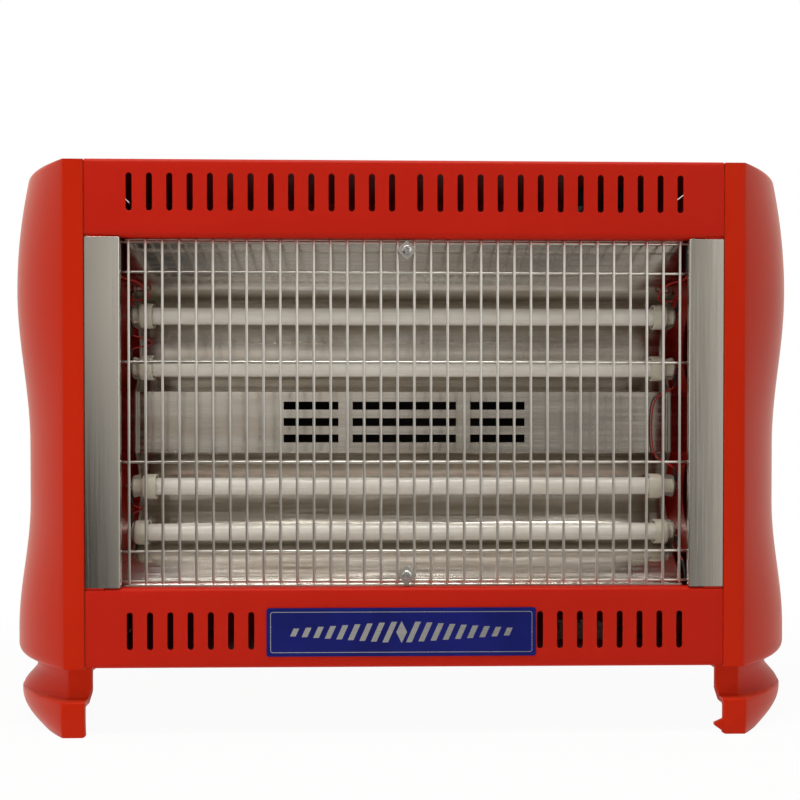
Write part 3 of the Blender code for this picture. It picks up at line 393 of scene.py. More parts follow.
zinc_plate = streaked_metal("zinc_steel", (0.62, 0.61, 0.58), (0.42, 0.40, 0.36), 0.34, (240, 240, 240),
                            (40, 40, 40), 0.10, 0.35, 0.00001)
# The rear panel's black doubles as painted shade: it darkens the chamber seen through the reflector's vents.
black_coat_and_shade = grained_finish("black_powder_coat", (0.012, 0.011, 0.011), 0.5, 1500.0, 0.00003, tone=0.1,
                            Specular_IOR_Level=0.25)
rear_low, rear_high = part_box("rear_panel")
rear_y = rear_high.y
rear_slot = (0.040, 0.005)
rear_cell = (0.058, 0.018)
rear_columns = rear_cell[0] * (np.arange(6) - 2.5)
vent_inset = 0.050
rear_levels = [level + rear_cell[1] * row
               for level in (rear_high.z - vent_inset, rear_low.z + vent_inset) for row in (-0.5, 0.5)]
cord_hole, cord_radius, cord_cell = (0.190, rear_low.z + 0.035), 0.0067, 0.020


def hole_ring(xs, zs, centre, half_run, radius):
    """A ring (2 by n by 2) from a round-ended hole out to the grid lines round it: each outer point
    is drawn in to the radius from the nearest point of the hole's middle line."""
    outer = np.concatenate([[(x, zs[0]) for x in xs[:-1]], [(xs[-1], z) for z in zs[:-1]],
                            [(x, zs[-1]) for x in xs[:0:-1]], [(xs[0], z) for z in zs[::-1]]])
    middle = np.column_stack([np.clip(outer[:, 0], centre[0] - half_run, centre[0] + half_run),
                              np.full(len(outer), centre[1])])
    away = outer - middle
    inner = middle + away * radius / np.linalg.norm(away, axis=1, keepdims=True)
    return np.stack([inner, outer])


def pierced_panel():
    """The rear panel's grids: one of straight lines with its pierced cells left out, and a ring of
    faces from each of those cells to its hole."""
    holes = [((x, z), rear_cell, (rear_slot[0] - rear_slot[1]) / 2, rear_slot[1] / 2)
             for x in rear_columns for z in rear_levels]
    holes.append((cord_hole, (cord_cell, cord_cell), 0.0, cord_radius))
    xs, zs = [rear_low.x, rear_high.x], [rear_low.z, rear_high.z]
    for centre, cell, _, _ in holes:
        xs += list(centre[0] + np.linspace(-cell[0] / 2, cell[0] / 2, 13))
        zs += list(centre[1] + np.linspace(-cell[1] / 2, cell[1] / 2, 9))
    xs, zs = np.unique(np.round(xs, 6)), np.unique(np.round(zs, 6))
    flat = np.stack(np.meshgrid(xs, zs), -1)
    middle = (flat[:-1, :-1] + flat[1:, 1:]) / 2
    gone = np.zeros(middle.shape[:2], bool)
    rings = []
    for centre, cell, half_run, radius in holes:
        gone |= np.all(np.abs(middle - centre) < np.array(cell) / 2, -1)
        inside_x = xs[np.abs(xs - centre[0]) < cell[0] / 2 + 2e-6]
        inside_z = zs[np.abs(zs - centre[1]) < cell[1] / 2 + 2e-6]
        rings.append(hole_ring(inside_x, inside_z, centre, half_run, radius))
    upright = [stand_up(grid, rear_y - sheet_gauge / 2) for grid in [flat] + rings]
    return [(upright[0], gone)] + upright[1:]


panel = patch_mesh("rear_panel_sheet", pierced_panel())
add_gauge(panel, sheet_gauge, cut_edge)
dress(panel, black_coat_and_shade, "black_powder_coat", "rear_panel")
for name in ("end_plate_left", "end_plate_right"):
    dress(nodes[name], red_coat, "red_powder_coat")
for name in ("tube_bracket_left", "tube_bracket_right"):
    dress(nodes[name], zinc_plate, "zinc_steel")


# End cheeks: one hollow moulding each, in red plastic. Each swells, draws in at a waist and swells
# again, with a flat front strip and a crease where its side turns back.

crease_x = body_half + 0.015
cheek_half_depth = 0.076
cheek_inner = body_half + 0.0003
crease_round, inner_round = 0.0012, 0.0007
upper_reach, lower_reach, waist_reach = 0.3086, 0.3080, 0.2982
upper_peak, lower_peak = body_top - 0.090, body_bottom + 0.020
high_waist, low_waist = body_bottom + 0.1652, body_bottom + 0.1212
cheek_top, top_draw = body_top - 0.0012, 0.0108
swell_lead, swell_turn = 0.96, 0.48
rear_draw, rear_corner = 0.004, 0.005
top_fillet, bottom_fillet = 0.004, 0.009
cheek_wall = 0.0025
# Its specular and sheen answer the lamps, but their warm and orange tints are painted reflection: a warm
# haze at grazing angles.
red_moulding = grained_finish("red_moulding", (0.54, 0.016, 0.0012), 0.34, 700.0, 0.00003, tone=0.03,
                              cloud=5.0, Specular_IOR_Level=0.13, Specular_Tint=(1.0, 0.78, 0.60, 1),
                              Sheen_Weight=0.35, Sheen_Roughness=0.35, Sheen_Tint=(1.0, 0.62, 0.35, 1))


def cosine_blend(share):
    """Smooth step from 0 to 1: half of one minus the cosine of half a turn."""
    return (1 - np.cos(np.pi * np.clip(share, 0, 1))) / 2


def cheek_reach(z):
    """How far the moulding reaches from the middle at mid-depth, at each height: a parabola above
    the upper swell, and cosine blends down to the waist and out again."""
    top = upper_reach - top_draw * ((z - upper_peak) / (cheek_top - upper_peak)) ** 2
    rise = cosine_blend((z - high_waist) / (upper_peak - high_waist))
    fall = cosine_blend((low_waist - z) / (low_waist - lower_peak))
    waist = waist_reach + (upper_reach - waist_reach) * rise + (lower_reach - waist_reach) * fall
    return np.where(z >= upper_peak, top, waist)


def side_plan(inner, crease, reach, half_depth, wall=0.0, rear_end=None, side_steps=22):
    """Outline of a moulding at one height, as (x, y): a round inner edge, straight front, rounded
    crease, a quarter curve back to mid-depth, a straight run that draws in to the rear, and a
    round rear corner. A wall draws it in by its thickness, for the inside."""
    edge_round, corner_round = 0.0 if wall else inner_round, rear_corner - wall
    crease, reach, half_depth = crease - wall, reach - wall, half_depth - wall
    t = np.linspace(0, 1, side_steps + 1)[1:]
    out = 2 * t * (1 - t) * swell_lead + t * t
    back = 1 - (1 - t) ** 2 - 2 * t * (1 - t) * swell_turn
    side = np.stack([crease + (reach - crease) * out, -half_depth * (1 - back)], 1)
    tip = np.array([crease, -half_depth])
    start = tip - (crease_round, 0)
    end = tip + (side[0] - tip) / np.linalg.norm(side[0] - tip) * crease_round
    turn = np.linspace(0, 1, 6)[:, None]
    corner = start * (1 - turn) ** 2 + 2 * turn * (1 - turn) * tip + end * turn ** 2
    edge = np.linspace(0, math.pi / 2, 4)
    front = (inner, -half_depth) + edge_round * np.stack([1 - np.cos(edge), 1 - np.sin(edge)], 1)
    flat = np.linspace(inner + edge_round, crease - crease_round, 5)[1:-1]
    front = np.concatenate([front, np.stack([flat, np.full(3, -half_depth)], 1)])
    angle = np.linspace(0, math.pi / 2, 9)
    hub = np.array([reach - rear_draw - corner_round, half_depth - corner_round])
    rear = hub + corner_round * np.stack([np.cos(angle), np.sin(angle)], 1)
    last = inner if rear_end is None else min(rear_end, hub[0] - 0.001)
    return np.concatenate([front, corner, side, rear, [[last, half_depth]]])


def at_height(flat, z):
    """Flat (x, y) points laid level at a height z."""
    return np.column_stack([flat, np.full(len(flat), z)])


def fillet_rows(low, high, low_fillet, high_fillet, count):
    """Heights between two ends, with rows a few degrees apart inside each rounded edge, and how
    far the rounded edges draw in there."""
    angle = np.linspace(0, math.pi / 2, 8)
    bottom = low + low_fillet * (1 - np.cos(angle))
    top = high - high_fillet * (1 - np.cos(angle[::-1]))
    rows = np.concatenate([bottom, np.linspace(bottom[-1], top[0], count + 2)[1:-1], top])
    loss = np.zeros(len(rows))
    loss[:8] = low_fillet * (1 - np.sin(angle))
    loss[-8:] = high_fillet * (1 - np.sin(angle[::-1]))
    return rows, loss


def cheek_face(wall):
    """Rows by columns by 3: the outline at each height, drawn in by a wall's thickness, with a first
    and a last row that close it across to the inner edge."""
    rows, loss = fillet_rows(body_bottom, cheek_top, bottom_fillet, top_fillet, 48)
    middle, half_height = (cheek_top + body_bottom) / 2, (cheek_top - body_bottom) / 2
    heights = middle + (rows - middle) * (half_height - wall) / half_height
    points = []
    for reach, z in zip(cheek_reach(rows) - loss, heights):
        points.append(at_height(side_plan(cheek_inner, crease_x, reach, cheek_half_depth, wall), z))
    ends = [points[0].copy(), points[-1].copy()]
    for end in ends:
        end[:, 0] = cheek_inner
    return np.stack([ends[0]] + points + [ends[1]])


def shell_grids(side, outside, inside):
    """The grids of a moulding with a wall: its two faces and the strips between their edges."""
    strips = [np.stack([outside[:, edge], inside[:, edge]]) for edge in (0, -1)]
    strips += [np.stack([outside[row], inside[row]]) for row in (0, -1)]
    return [grid * (side, 1, 1) for grid in [outside, inside] + strips]


both_sides = ((-1, "left"), (1, "right"))
for side, word in both_sides:
    cheek = patch_mesh("cheek_shell_" + word, shell_grids(side, cheek_face(0.0), cheek_face(cheek_wall)))
    dress(cheek, red_moulding, "red_moulding", "end_cheek_" + word)


# Feet: a moulded foot under each cheek in the same red plastic, open below and behind. A flared
# base ends in a level ledge in front, its side draws in as a soft shoulder, and a set-back neck
# carries the cheek. The right one has a small lug low on its inner edge.

base_height, base_reach, sole_reach = 0.0268, 0.3050, 0.288
base_edge, sole_setback, sole_corner = 0.0015, 0.002, 0.002
neck_reach, neck_setback, neck_fillet = 0.2935, 0.012, 0.0035
shoulder_rise, neck_swing = 0.015, 0.0105
foot_wall, rear_return = 0.004, 0.010
foot_top = body_bottom - 0.0003
base_crease, neck_inner = crease_x + 0.002, body_half - 0.002


def foot_rows():
    """Rows of (height, reach, setback, inner edge, crease) up a foot. The base flares as one minus a
    power of what is left of its height. Its front rim is a quarter circle, and a hollow quarter
    circle turns the ledge up into the neck. The side leaves the rim as t * t * (2.1 - 1.1 * t), the
    inner edge swings in to the neck by half a cosine wave, and its lowest corner is round."""
    turn = np.linspace(0, math.pi / 2, 6)
    rim = base_height - base_edge * (1 - np.sin(turn))
    root = base_height + neck_fillet * (1 - np.cos(turn[1:]))
    low = np.concatenate([sole_corner * (1 - np.cos(turn)), np.linspace(sole_corner, rim[0], 12)[1:]])
    z = np.concatenate([low, rim[1:], root, np.linspace(root[-1], foot_top, 12)[1:]])
    first, second = len(low), len(low) + 5
    up, share = low / low[-1], np.clip((z - low[-1]) / (shoulder_rise + base_edge), 0, 1)
    reach = base_reach - (base_reach - neck_reach) * share ** 2 * (2.1 - 1.1 * share)
    reach[:first] = sole_reach + (base_reach - sole_reach) * (1 - (1 - up) ** 2.3)
    setback = np.full(len(z), neck_setback)
    setback[:first] = sole_setback * (1 - up) ** 4
    setback[first:second] = base_edge * (1 - np.cos(turn[1:]))
    setback[second:second + 5] -= neck_fillet * (1 - np.sin(turn[1:]))
    inner = cheek_inner + (neck_inner - cheek_inner) * cosine_blend((z - base_height) / neck_swing)
    inner += sole_corner * (1 - np.sqrt(1 - np.clip(1 - z / sole_corner, 0, 1) ** 2))
    return np.stack([z, reach, setback, inner, np.where(z < base_height - 1e-6, base_crease, crease_x)], 1)


def foot_face(rows, wall):
    """Rows by columns by 3: the cheek's outline, drawn in and set back by height and by a wall's
    thickness, with a last row that closes the top across to the inner edge."""
    sink = np.minimum(wall * rows[:, 0] / base_height, wall)
    points = []
    for (z, reach, setback, inner, crease), drop in zip(rows, sink):
        ring = side_plan(inner, crease, reach, cheek_half_depth - setback, wall, neck_reach - rear_return)
        points.append(at_height(ring, z - drop))
    lid = points[-1].copy()
    lid[:, 0] = neck_inner
    return np.stack(points + [lid])


for side, word in both_sides:
    foot_grids = shell_grids(side, foot_face(foot_rows(), 0.0), foot_face(foot_rows(), foot_wall))
    foot = patch_mesh("foot_shell_" + word, foot_grids, sharp=35.0)
    dress(foot, red_moulding, "red_moulding", "foot_" + word)


def plate_grid(outline, centre, rings):
    """A flat plate from its outline: each ring is (share of the way out from the centre, y)."""
    outline, centre = np.array(outline), np.array(centre)
    return np.stack([stand_up(centre + (outline - centre) * share, y) for share, y in rings])


lug_root, lug_tip, lug_front = cheek_inner + 0.001, cheek_inner - 0.0062, 0.001 - cheek_half_depth
lug_outline = folded_line([(lug_root, 0.0015), (lug_tip, 0.0065), (lug_tip, 0.0085), (lug_root, 0.0117)],
                          0.0006, 4)
lug_outline = np.concatenate([lug_outline, lug_outline[:1]])
lug_rings = [(share, lug_front + depth) for share, depth in (
    (0.0, 0.0), (0.92, 0.0), (0.98, 0.0002), (1.0, 0.0005), (1.0, 0.0038), (0.96, 0.004), (0.0, 0.004))]
lug = patch_mesh("foot_lug", [plate_grid(lug_outline, lug_outline.mean(0), lug_rings)])
dress(lug, red_moulding, "red_moulding")


# Trim strips: bright rolled steel folded once, beside the opening. The fold turns back towards the
# reflector, and the flat is held between the end plate and the cheek.

trim_gauge = 0.0008
trim_return = 0.005
trim_bend = 0.0011
bright_steel = streaked_metal("bright_steel", (0.62, 0.595, 0.55), (0.52, 0.49, 0.44), 0.22, (700, 700, 10),
                              (30, 30, 12), 0.045, 0.25, 0.000006)
for side, word in both_sides:
    low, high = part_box("trim_strip_" + word)
    inner = min(abs(low.x), abs(high.x)) + trim_gauge / 2
    outer = max(abs(low.x), abs(high.x))
    line = folded_line([(side * inner, low.y + trim_return), (side * inner, low.y + trim_gauge / 2),
                        (side * outer, low.y + trim_gauge / 2)], trim_bend)
    levels = np.linspace(low.z, high.z, 40)
    strip = np.empty((len(levels), len(line), 3))
    strip[..., :2] = line
    strip[..., 2] = levels[:, None]
    trim = patch_mesh("trim_fold_" + word, [strip])
    add_gauge(trim, trim_gauge, 0.0002)
    dress(trim, bright_steel, "bright_steel", "trim_strip_" + word)


# Reflector: one thin bright sheet folded into a brow, two curved troughs, a flat band with nine
# vents between them, and a sill. Its brown stain bands are painted reflection of a warm room, and
# the rolling streaks run along it.

reflector_gauge = 0.0006
reflector_bend = 0.0012
reflector_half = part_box("reflector")[1].x
band_depth, band_half = 0.050, 0.0238
band_middle = (opening_top + opening_bottom) / 2 - 0.0062
shoulder_depth, trough_height, trough_sag = 0.040, 0.075, 0.022
brow_depth, brow_height = 0.010, 0.0132
sill_depth, sill_height = 0.004, 0.0032
lip_depth = 0.0106
lip_rise = 0.004
vent_widths = (0.0815, 0.043)
vent_gap = 0.0112
vent_height, vent_pitch = 0.0062, 0.0129
lead_notch, lower_notch = (0.017, 0.016), 0.0128


def trough_line(start, end, steps=28):
    """A curved trough from one ridge to the next: a straight run plus a parabola of the sag."""
    t = np.linspace(0, 1, steps + 1)[:, None]
    run = np.array(start) + (np.array(end) - np.array(start)) * t
    run[:, 0] += trough_sag * 4 * (t * (1 - t))[:, 0]
    return run


def soften(line, radius, steps=5):
    """Round the ridges of a line: wherever it turns by more than 20 degrees, put an arc there."""
    legs = np.diff(line, axis=0)
    heading = np.arctan2(legs[:, 1], legs[:, 0])
    turn = np.abs((np.diff(heading) + math.pi) % (2 * math.pi) - math.pi)
    points = [line[:1]]
    for index, angle in enumerate(turn, 1):
        if angle > math.radians(20):
            points.append(folded_line(line[index - 1:index + 2], radius, steps)[1:-1])
        else:
            points.append(line[index:index + 1])
    return np.concatenate(points + [line[-1:]])


ridge_top, ridge_bottom = (band_depth, band_middle + band_half), (band_depth, band_middle - band_half)
shoulder_top = (shoulder_depth, ridge_top[1] + trough_height)
shoulder_bottom = (shoulder_depth, ridge_bottom[1] - trough_height)
vent_rows = band_middle + vent_pitch * np.array([1, 0, -1])
vent_edges = np.sort(np.concatenate([vent_rows - vent_height / 2, vent_rows + vent_height / 2]))[::-1]
reflector_line = np.concatenate([
    [(lip_depth, opening_top + lip_rise), (lip_depth, opening_top - sheet_gauge)],
    [(shoulder_depth - brow_depth, shoulder_top[1] + brow_height)],
    trough_line(shoulder_top, ridge_top), [(band_depth, z) for z in vent_edges],
    trough_line(ridge_bottom, shoulder_bottom),
    [(shoulder_depth - sill_depth, shoulder_bottom[1] - sill_height)],
    [(lip_depth, opening_bottom + sheet_gauge), (lip_depth, opening_bottom - lip_rise)]])
reflector_line = soften(reflector_line, reflector_bend)
reflector_line[:, 0] += front_y
vent_spans = [(-vent_widths[0] / 2, vent_widths[0] / 2)]
vent_outer = (vent_widths[0] / 2 + vent_gap, vent_widths[0] / 2 + vent_gap + vent_widths[1])
vent_spans += [vent_outer, (-vent_outer[1], -vent_outer[0])]
notch_x = reflector_half - lead_notch[0]
fixed_columns = [x for span in vent_spans for x in span]
fixed_columns += [-reflector_half, reflector_half, -notch_x, notch_x]
reflector_columns = np.unique(np.round(np.concatenate([
    fixed_columns, np.linspace(-reflector_half, reflector_half, 91)]), 6))


def reflector_cuts(points):
    """Mask of the faces that the vents and the corner notches take out."""
    x, y, z = np.moveaxis((points[:-1, :-1] + points[1:, 1:]) / 2, -1, 0)
    gone = np.zeros(x.shape, bool)
    on_band, shallow = y > front_y + band_depth - 0.005, y < front_y + shoulder_depth
    for low, high in vent_spans:
        for height in vent_rows:
            gone |= on_band & (x > low) & (x < high) & (np.abs(z - height) < vent_height / 2)
    gone |= (np.abs(x) > notch_x) & (z > opening_top - lead_notch[1]) & shallow
    gone |= (x > notch_x) & (z < opening_bottom + lower_notch) & shallow
    return gone


def ripple(x, z, height):
    """Slow waves of a thin sheet along X, out of step from fold to fold: a sum of three sines."""
    long, middling, short = x * 37 + z * 60, x * 83 - z * 140 + 1.3, x * 151 + z * 90
    return height * (np.sin(long) + 0.6 * np.sin(middling) + 0.4 * np.sin(short))


reflector_points, reflector_skip = across_columns(reflector_line, reflector_columns, reflector_cuts)
reflector_points[..., 1] += ripple(reflector_points[..., 0], reflector_points[..., 2], 0.00007)
reflector = patch_mesh("reflector_fold", [(reflector_points, reflector_skip)], sharp=50.0)
add_gauge(reflector, reflector_gauge, 0.00012)
# The brown stain blotches, long along X, are painted reflection: bands of a warm room mirrored in the sheet.
reflector_painted_reflection = streaked_metal("polished_reflector", (0.68, 0.645, 0.59), (0.42, 0.32, 0.23), 0.17,
                            (9, 420, 420), (7, 60, 60), 0.13, 0.5, 0.00002)
dress(reflector, reflector_painted_reflection, "polished_reflector", "reflector")


# Grille: round plated wire, 34 uprights welded to the front of six cross wires. Each weld leaves a
# small swell where the wires meet, and the cut ends are tumbled round.

wire_radius = 0.0011
upright_count, upright_pitch = 34, 0.01248
grille_raise = 0.0006
cross_insets = (0.0034, 0.0256, 0.0924)
grille_low, grille_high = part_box("grille")
upright_y = grille_low.y + wire_radius
cross_y = grille_high.y - wire_radius
plated_wire = streaked_metal("plated_wire", (0.76, 0.74, 0.69), (0.56, 0.53, 0.48), 0.36, (300, 300, 60),
                             (60, 60, 60), 0.06, 0.2, 0.000004)


def spokes(axis, turn):
    """Unit directions square to an axis, one for each turn about it."""
    side = np.cross(axis, (0.0, 1.0, 0.0) if abs(axis[2]) > 0.5 else (0.0, 0.0, 1.0))
    other = np.cross(axis, side)
    return np.cos(turn)[:, None] * side + np.sin(turn)[:, None] * other


def turned_grid(profile, centre, axis, sides=32):
    """A turned shape: (radius, height) points spun about a unit axis through the centre."""
    radius, height = np.array(profile, float).T[..., None, None]
    ring = spokes(axis, np.linspace(0, 2 * math.pi, sides + 1))
    return np.array(centre) + np.array(axis) * height + ring * radius


def round_rod(start, end, radius, sides=12, rounding=0.6):
    """A straight rod with rounded ends. At each end the rings' distance from the tip is one minus a
    sine, and their girth the cosine."""
    run = np.subtract(end, start)
    length = np.linalg.norm(run)
    angle = np.linspace(0, math.pi / 2, 4)
    tip = np.stack([radius * np.cos(angle), radius * rounding * (1 - np.sin(angle))], 1)
    return turned_grid(np.concatenate([tip[::-1], (0, length) + tip * (1, -1)]), start, run / length, sides)


def weld_swell(centre, radii, steps=4, sides=8):
    """A small ellipsoid round a crossing, as latitude by longitude."""
    lat = np.linspace(-math.pi / 2, math.pi / 2, steps + 1)[:, None]
    lon = np.linspace(0, 2 * math.pi, sides + 1)
    x, y, z = np.cos(lat) * np.cos(lon), np.cos(lat) * np.sin(lon), np.sin(lat) * np.ones_like(lon)
    return np.array(centre) + np.stack([x, y, z], -1) * radii


upright_half = upright_pitch * (upright_count - 1) / 2
upright_xs = np.linspace(-upright_half, upright_half, upright_count)
cross_levels = [z for inset in cross_insets
                for z in (opening_bottom + inset + grille_raise, opening_top - inset + grille_raise)]
rods = [round_rod((x, upright_y, grille_low.z), (x, upright_y, grille_high.z), wire_radius)
        for x in upright_xs]
rods += [round_rod((grille_low.x, cross_y, z), (grille_high.x, cross_y, z), wire_radius)
         for z in cross_levels]
weld_y, weld_radii = (upright_y + cross_y) / 2, (0.0013, 0.0011, 0.0013)
rods += [weld_swell((x, weld_y, z), weld_radii) for x in upright_xs for z in cross_levels]
grille = patch_mesh("welded_grille", rods, sharp=60.0)
dress(grille, plated_wire, "plated_wire", "grille")


# Clips and screws: a square spring-steel clip stands on its corner at the middle of the grille's
# top and bottom edges. A cross-recessed pan-head screw goes through it into the chamber.

clip_side, clip_corner, clip_dish = 0.0108, 0.0010, 0.0003
clip_head_height, clip_shank = 0.0022, 0.0019
thread_pitch = 0.0008


def screw_grids(centre, axis, head_radius, head_height, shank_radius, length, spin=0.35, sides=64):
    """A pan-head screw: its head is a dome over radius and angle, sunk by a cross whose arms narrow
    towards their ends, and its shank is turned with shallow threads."""
    radius = np.linspace(0, 1, 22)[:, None]
    turn = np.linspace(0, 2 * math.pi, sides + 1)
    local = (turn - spin + math.pi / 4) % (math.pi / 2) - math.pi / 4
    reach, off = radius * np.cos(local), np.abs(radius * np.sin(local))
    arm = np.clip((0.13 - 0.05 * reach - off) / 0.05, 0, 1) * np.clip((0.60 - reach) / 0.08, 0, 1)
    dome = 0.35 + 0.65 * np.sqrt(np.clip(1 - radius ** 2.6, 0, 1))
    height = head_height * (dome - 0.75 * arm)
    out = spokes(axis, turn) * (radius * head_radius)[..., None]
    head = np.array(centre) + np.array(axis) * height[..., None] + out
    thread_z = np.linspace(-thread_pitch, -length + 1.5 * thread_pitch, 61)
    thread = shank_radius * (0.94 + 0.06 * np.cos(thread_z / thread_pitch * 2 * math.pi))
    profile = ([(head_radius, head_height * 0.35), (head_radius, 0), (shank_radius, 0)]
               + list(zip(thread, thread_z)) + [(0.0, -length)])
    return [head, turned_grid(profile, centre, axis, sides)]


screw_plate = streaked_metal("zinc_screws", (0.68, 0.675, 0.66), (0.45, 0.43, 0.40), 0.26, (500, 500, 500),
                             (80, 80, 80), 0.08, 0.2, 0.000008)
for word in ("top", "bottom"):
    low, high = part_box("grille_clip_" + word)
    centre = ((low.x + high.x) / 2, (low.z + high.z) / 2)
    angle = np.linspace(0, 2 * math.pi, 65)
    reach = clip_side / 2 / np.maximum(np.abs(np.cos(angle)), np.abs(np.sin(angle)))
    reach = np.minimum(reach, clip_side / math.sqrt(2) - clip_corner * 0.41)
    share = np.linspace(0.36, 1, 7)[:, None]
    x = centre[0] + share * reach * np.cos(angle + math.pi / 4)
    z = centre[1] + share * reach * np.sin(angle + math.pi / 4)
    y = (low.y + high.y) / 2 + clip_dish * (share - 0.7) * np.ones_like(angle)
    clip = patch_mesh("spring_clip_" + word, [np.stack([x, y, z], -1)])
    add_gauge(clip, high.y - low.y - 2 * clip_dish, 0.0002)
    dress(clip, zinc_plate, "zinc_steel", "grille_clip_" + word)
    low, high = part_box("grille_screw_" + word)
    head_y = low.y + clip_head_height
    screw = patch_mesh("pan_screw_" + word, screw_grids(
        (centre[0], head_y, centre[1]), (0, -1, 0), (high.x - low.x) / 2, clip_head_height, clip_shank,
        high.y - head_y))
    dress(screw, screw_plate, "zinc_steel", "grille_screw_" + word)


# Quartz tubes: milky white fused quartz, drawn as tube and cut square, with fire-polished ends. The
# resistance wire inside doesn't show through them.

tube_radius, tube_wall = 0.0067, 0.0012


def build_milky_streaks():
    """Group: pale drawing streaks along X and soft clouding for milky quartz."""
    group, given, result = new_group("milky_streaks", [
        ("Vector", "vector", None), ("Pale", "colour", (0.7, 0.7, 0.65, 1)),
        ("Deep", "colour", (0.6, 0.55, 0.5, 1))], [("Colour", "colour"), ("Height", "float")])
    stretched = add_node(group, "ShaderNodeMapping", Vector=given.outputs["Vector"], Scale=(12, 700, 700))
    streak = add_node(group, "ShaderNodeTexNoise", Vector=stretched.outputs[0], Scale=1.0, Detail=3.0)
    cloud = add_node(group, "ShaderNodeTexNoise", Vector=given.outputs["Vector"], Scale=35.0, Detail=2.0)
    both = add_node(group, "ShaderNodeMath", {"operation": "MULTIPLY"}, i0=streak.outputs[0],
                    i1=cloud.outputs[0])
    share = add_node(group, "ShaderNodeMapRange", Value=both.outputs[0], From_Min=0.12, From_Max=0.4)
    mixed = add_node(group, "ShaderNodeMix", {"data_type": "RGBA"}, i0=share.outputs[0],
                     i6=given.outputs["Deep"], i7=given.outputs["Pale"])
    group.links.new(mixed.outputs[2], result.inputs["Colour"])
    group.links.new(streak.outputs[0], result.inputs["Height"])
    return group


milky_streaks = build_milky_streaks()
milky_quartz = new_finish("milky_quartz", Roughness=0.26, Coat_Weight=0.35, Coat_Roughness=0.12,
                          Specular_IOR_Level=0.5)
lay_group(milky_quartz, milky_streaks, 0.00004, Vector=object_place(milky_quartz.node_tree),
          Pale=(0.83, 0.80, 0.73, 1), Deep=(0.72, 0.68, 0.60, 1))
dull_wire = streaked_metal("resistance_wire_dull", (0.30, 0.27, 0.24), (0.2, 0.16, 0.12), 0.5,
                           (900, 200, 200), (90, 90, 90), 0.2, 0.4, 0.00002)

for number in (1, 2, 3, 4):
    low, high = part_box("quartz_tube_%d" % number)
    centre = (low.x, (low.y + high.y) / 2, (low.z + high.z) / 2)
    length, bore = high.x - low.x, tube_radius - tube_wall
    near_end = [(bore, 0.0005), (bore + 0.0002, 0.0), (tube_radius - 0.0003, 0.0)]
    far_end = [(radius, length - inset) for radius, inset in near_end[::-1]]
    barrel = [(tube_radius, station) for station in np.linspace(0.001, length - 0.001, 40)]
    profile = near_end + barrel + far_end + near_end[:1]
    tube = patch_mesh("milky_tube_%d" % number, [turned_grid(profile, centre, (1, 0, 0), 40)])
    dress(tube, milky_quartz, "milky_quartz", "quartz_tube_%d" % number)
    dress(nodes["heating_element_%d" % number], dull_wire, "resistance_wire")


# Ceramic caps: pressed and glazed steatite collars at both ends of each tube. The mouth is dished
# round the tube, the rim is rounded, and a slim neck carries the terminal through its bracket.

cap_radius, cap_length, neck_radius = 0.0096, 0.0105, 0.0055
mouth_depth, mouth_rim = 0.0046, 0.0006
ceramic = grained_finish("glazed_ceramic", (0.66, 0.63, 0.51), 0.42, 900.0, 0.00003, tone=0.08, cloud=60.0,
                         Specular_IOR_Level=0.5, Coat_Weight=0.25, Coat_Roughness=0.2)
tube_bore, tube_stop, stud_bore = tube_radius + 0.0003, 0.0072, 0.0017


def profile_arc(radius, height, girth, rise, first, last, steps):
    """Profile points along an arc of an ellipse: radius + girth * cosine, height + rise * sine."""
    angle = np.linspace(first, last, steps + 1)
    return np.stack([radius + girth * np.cos(angle), height + rise * np.sin(angle)], 1)


mouth = profile_arc(cap_radius - 2 * mouth_rim, mouth_depth - 0.0002, -0.0006, -0.9 * mouth_depth,
                    0, math.pi / 2, 6)
rim = profile_arc(cap_radius - mouth_rim, mouth_rim, -mouth_rim, -mouth_rim, 0, math.pi, 8)
back = profile_arc(cap_radius - 0.0014, cap_length - 0.003, 0.0014, 0.003, 0, math.pi / 2, 5)
root = profile_arc(neck_radius + 0.0008, cap_length + 0.0008, -0.0008, -0.0008, math.pi / 2, 0, 4)
tube_ends = {}
for side, word in both_sides:
    for number in (1, 2, 3, 4):
        low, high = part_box("ceramic_cap_%s_%d" % (word, number))
        start, neck = high.x if side < 0 else low.x, high.x - low.x
        centre = (start, (low.y + high.y) / 2, (low.z + high.z) / 2)
        tube_ends[word, number] = (start + side * neck, centre[1], centre[2])
        inside = [(tube_bore, tube_stop), (tube_bore, mouth_depth)]
        end = [(neck_radius, neck - 0.0006), (neck_radius - 0.0006, neck), (stud_bore, neck),
               (stud_bore, tube_stop), (tube_bore, tube_stop)]
        profile = np.concatenate([inside, mouth, rim, back, root, end])
        cap_grid = turned_grid(profile, centre, (side, 0, 0), 40)
        cap = patch_mesh("ceramic_collar_%s_%d" % (word, number), [cap_grid])
        dress(cap, ceramic, "glazed_ceramic", "ceramic_cap_%s_%d" % (word, number))


# Terminals: a washer and a hexagon nut on the stud at each neck's end, all plated. They sit in the
# dark gap between the brackets and the end plates.

def hex_nut(centre, axis, across, thick, spin):
    """A hexagon nut: its outline is the across-flats distance over the cosine of the angle from the
    nearest flat, and its top edge is chamfered by a smaller ring."""
    turn = np.linspace(0, 2 * math.pi, 37)
    flat = across / 2 / np.cos((turn - spin + math.pi / 6) % (math.pi / 3) - math.pi / 6)
    chamfered = np.minimum(flat, across / 2 * 1.03)
    rings = [(0.3 * flat, 0.0), (flat, 0.0), (flat, thick * 0.82), (chamfered, thick),
             (0.3 * chamfered, thick), (0.3 * flat, 0.0)]
    out = spokes(axis, turn)
    return np.stack([centre + axis * height + out * radius[:, None] for radius, height in rings])


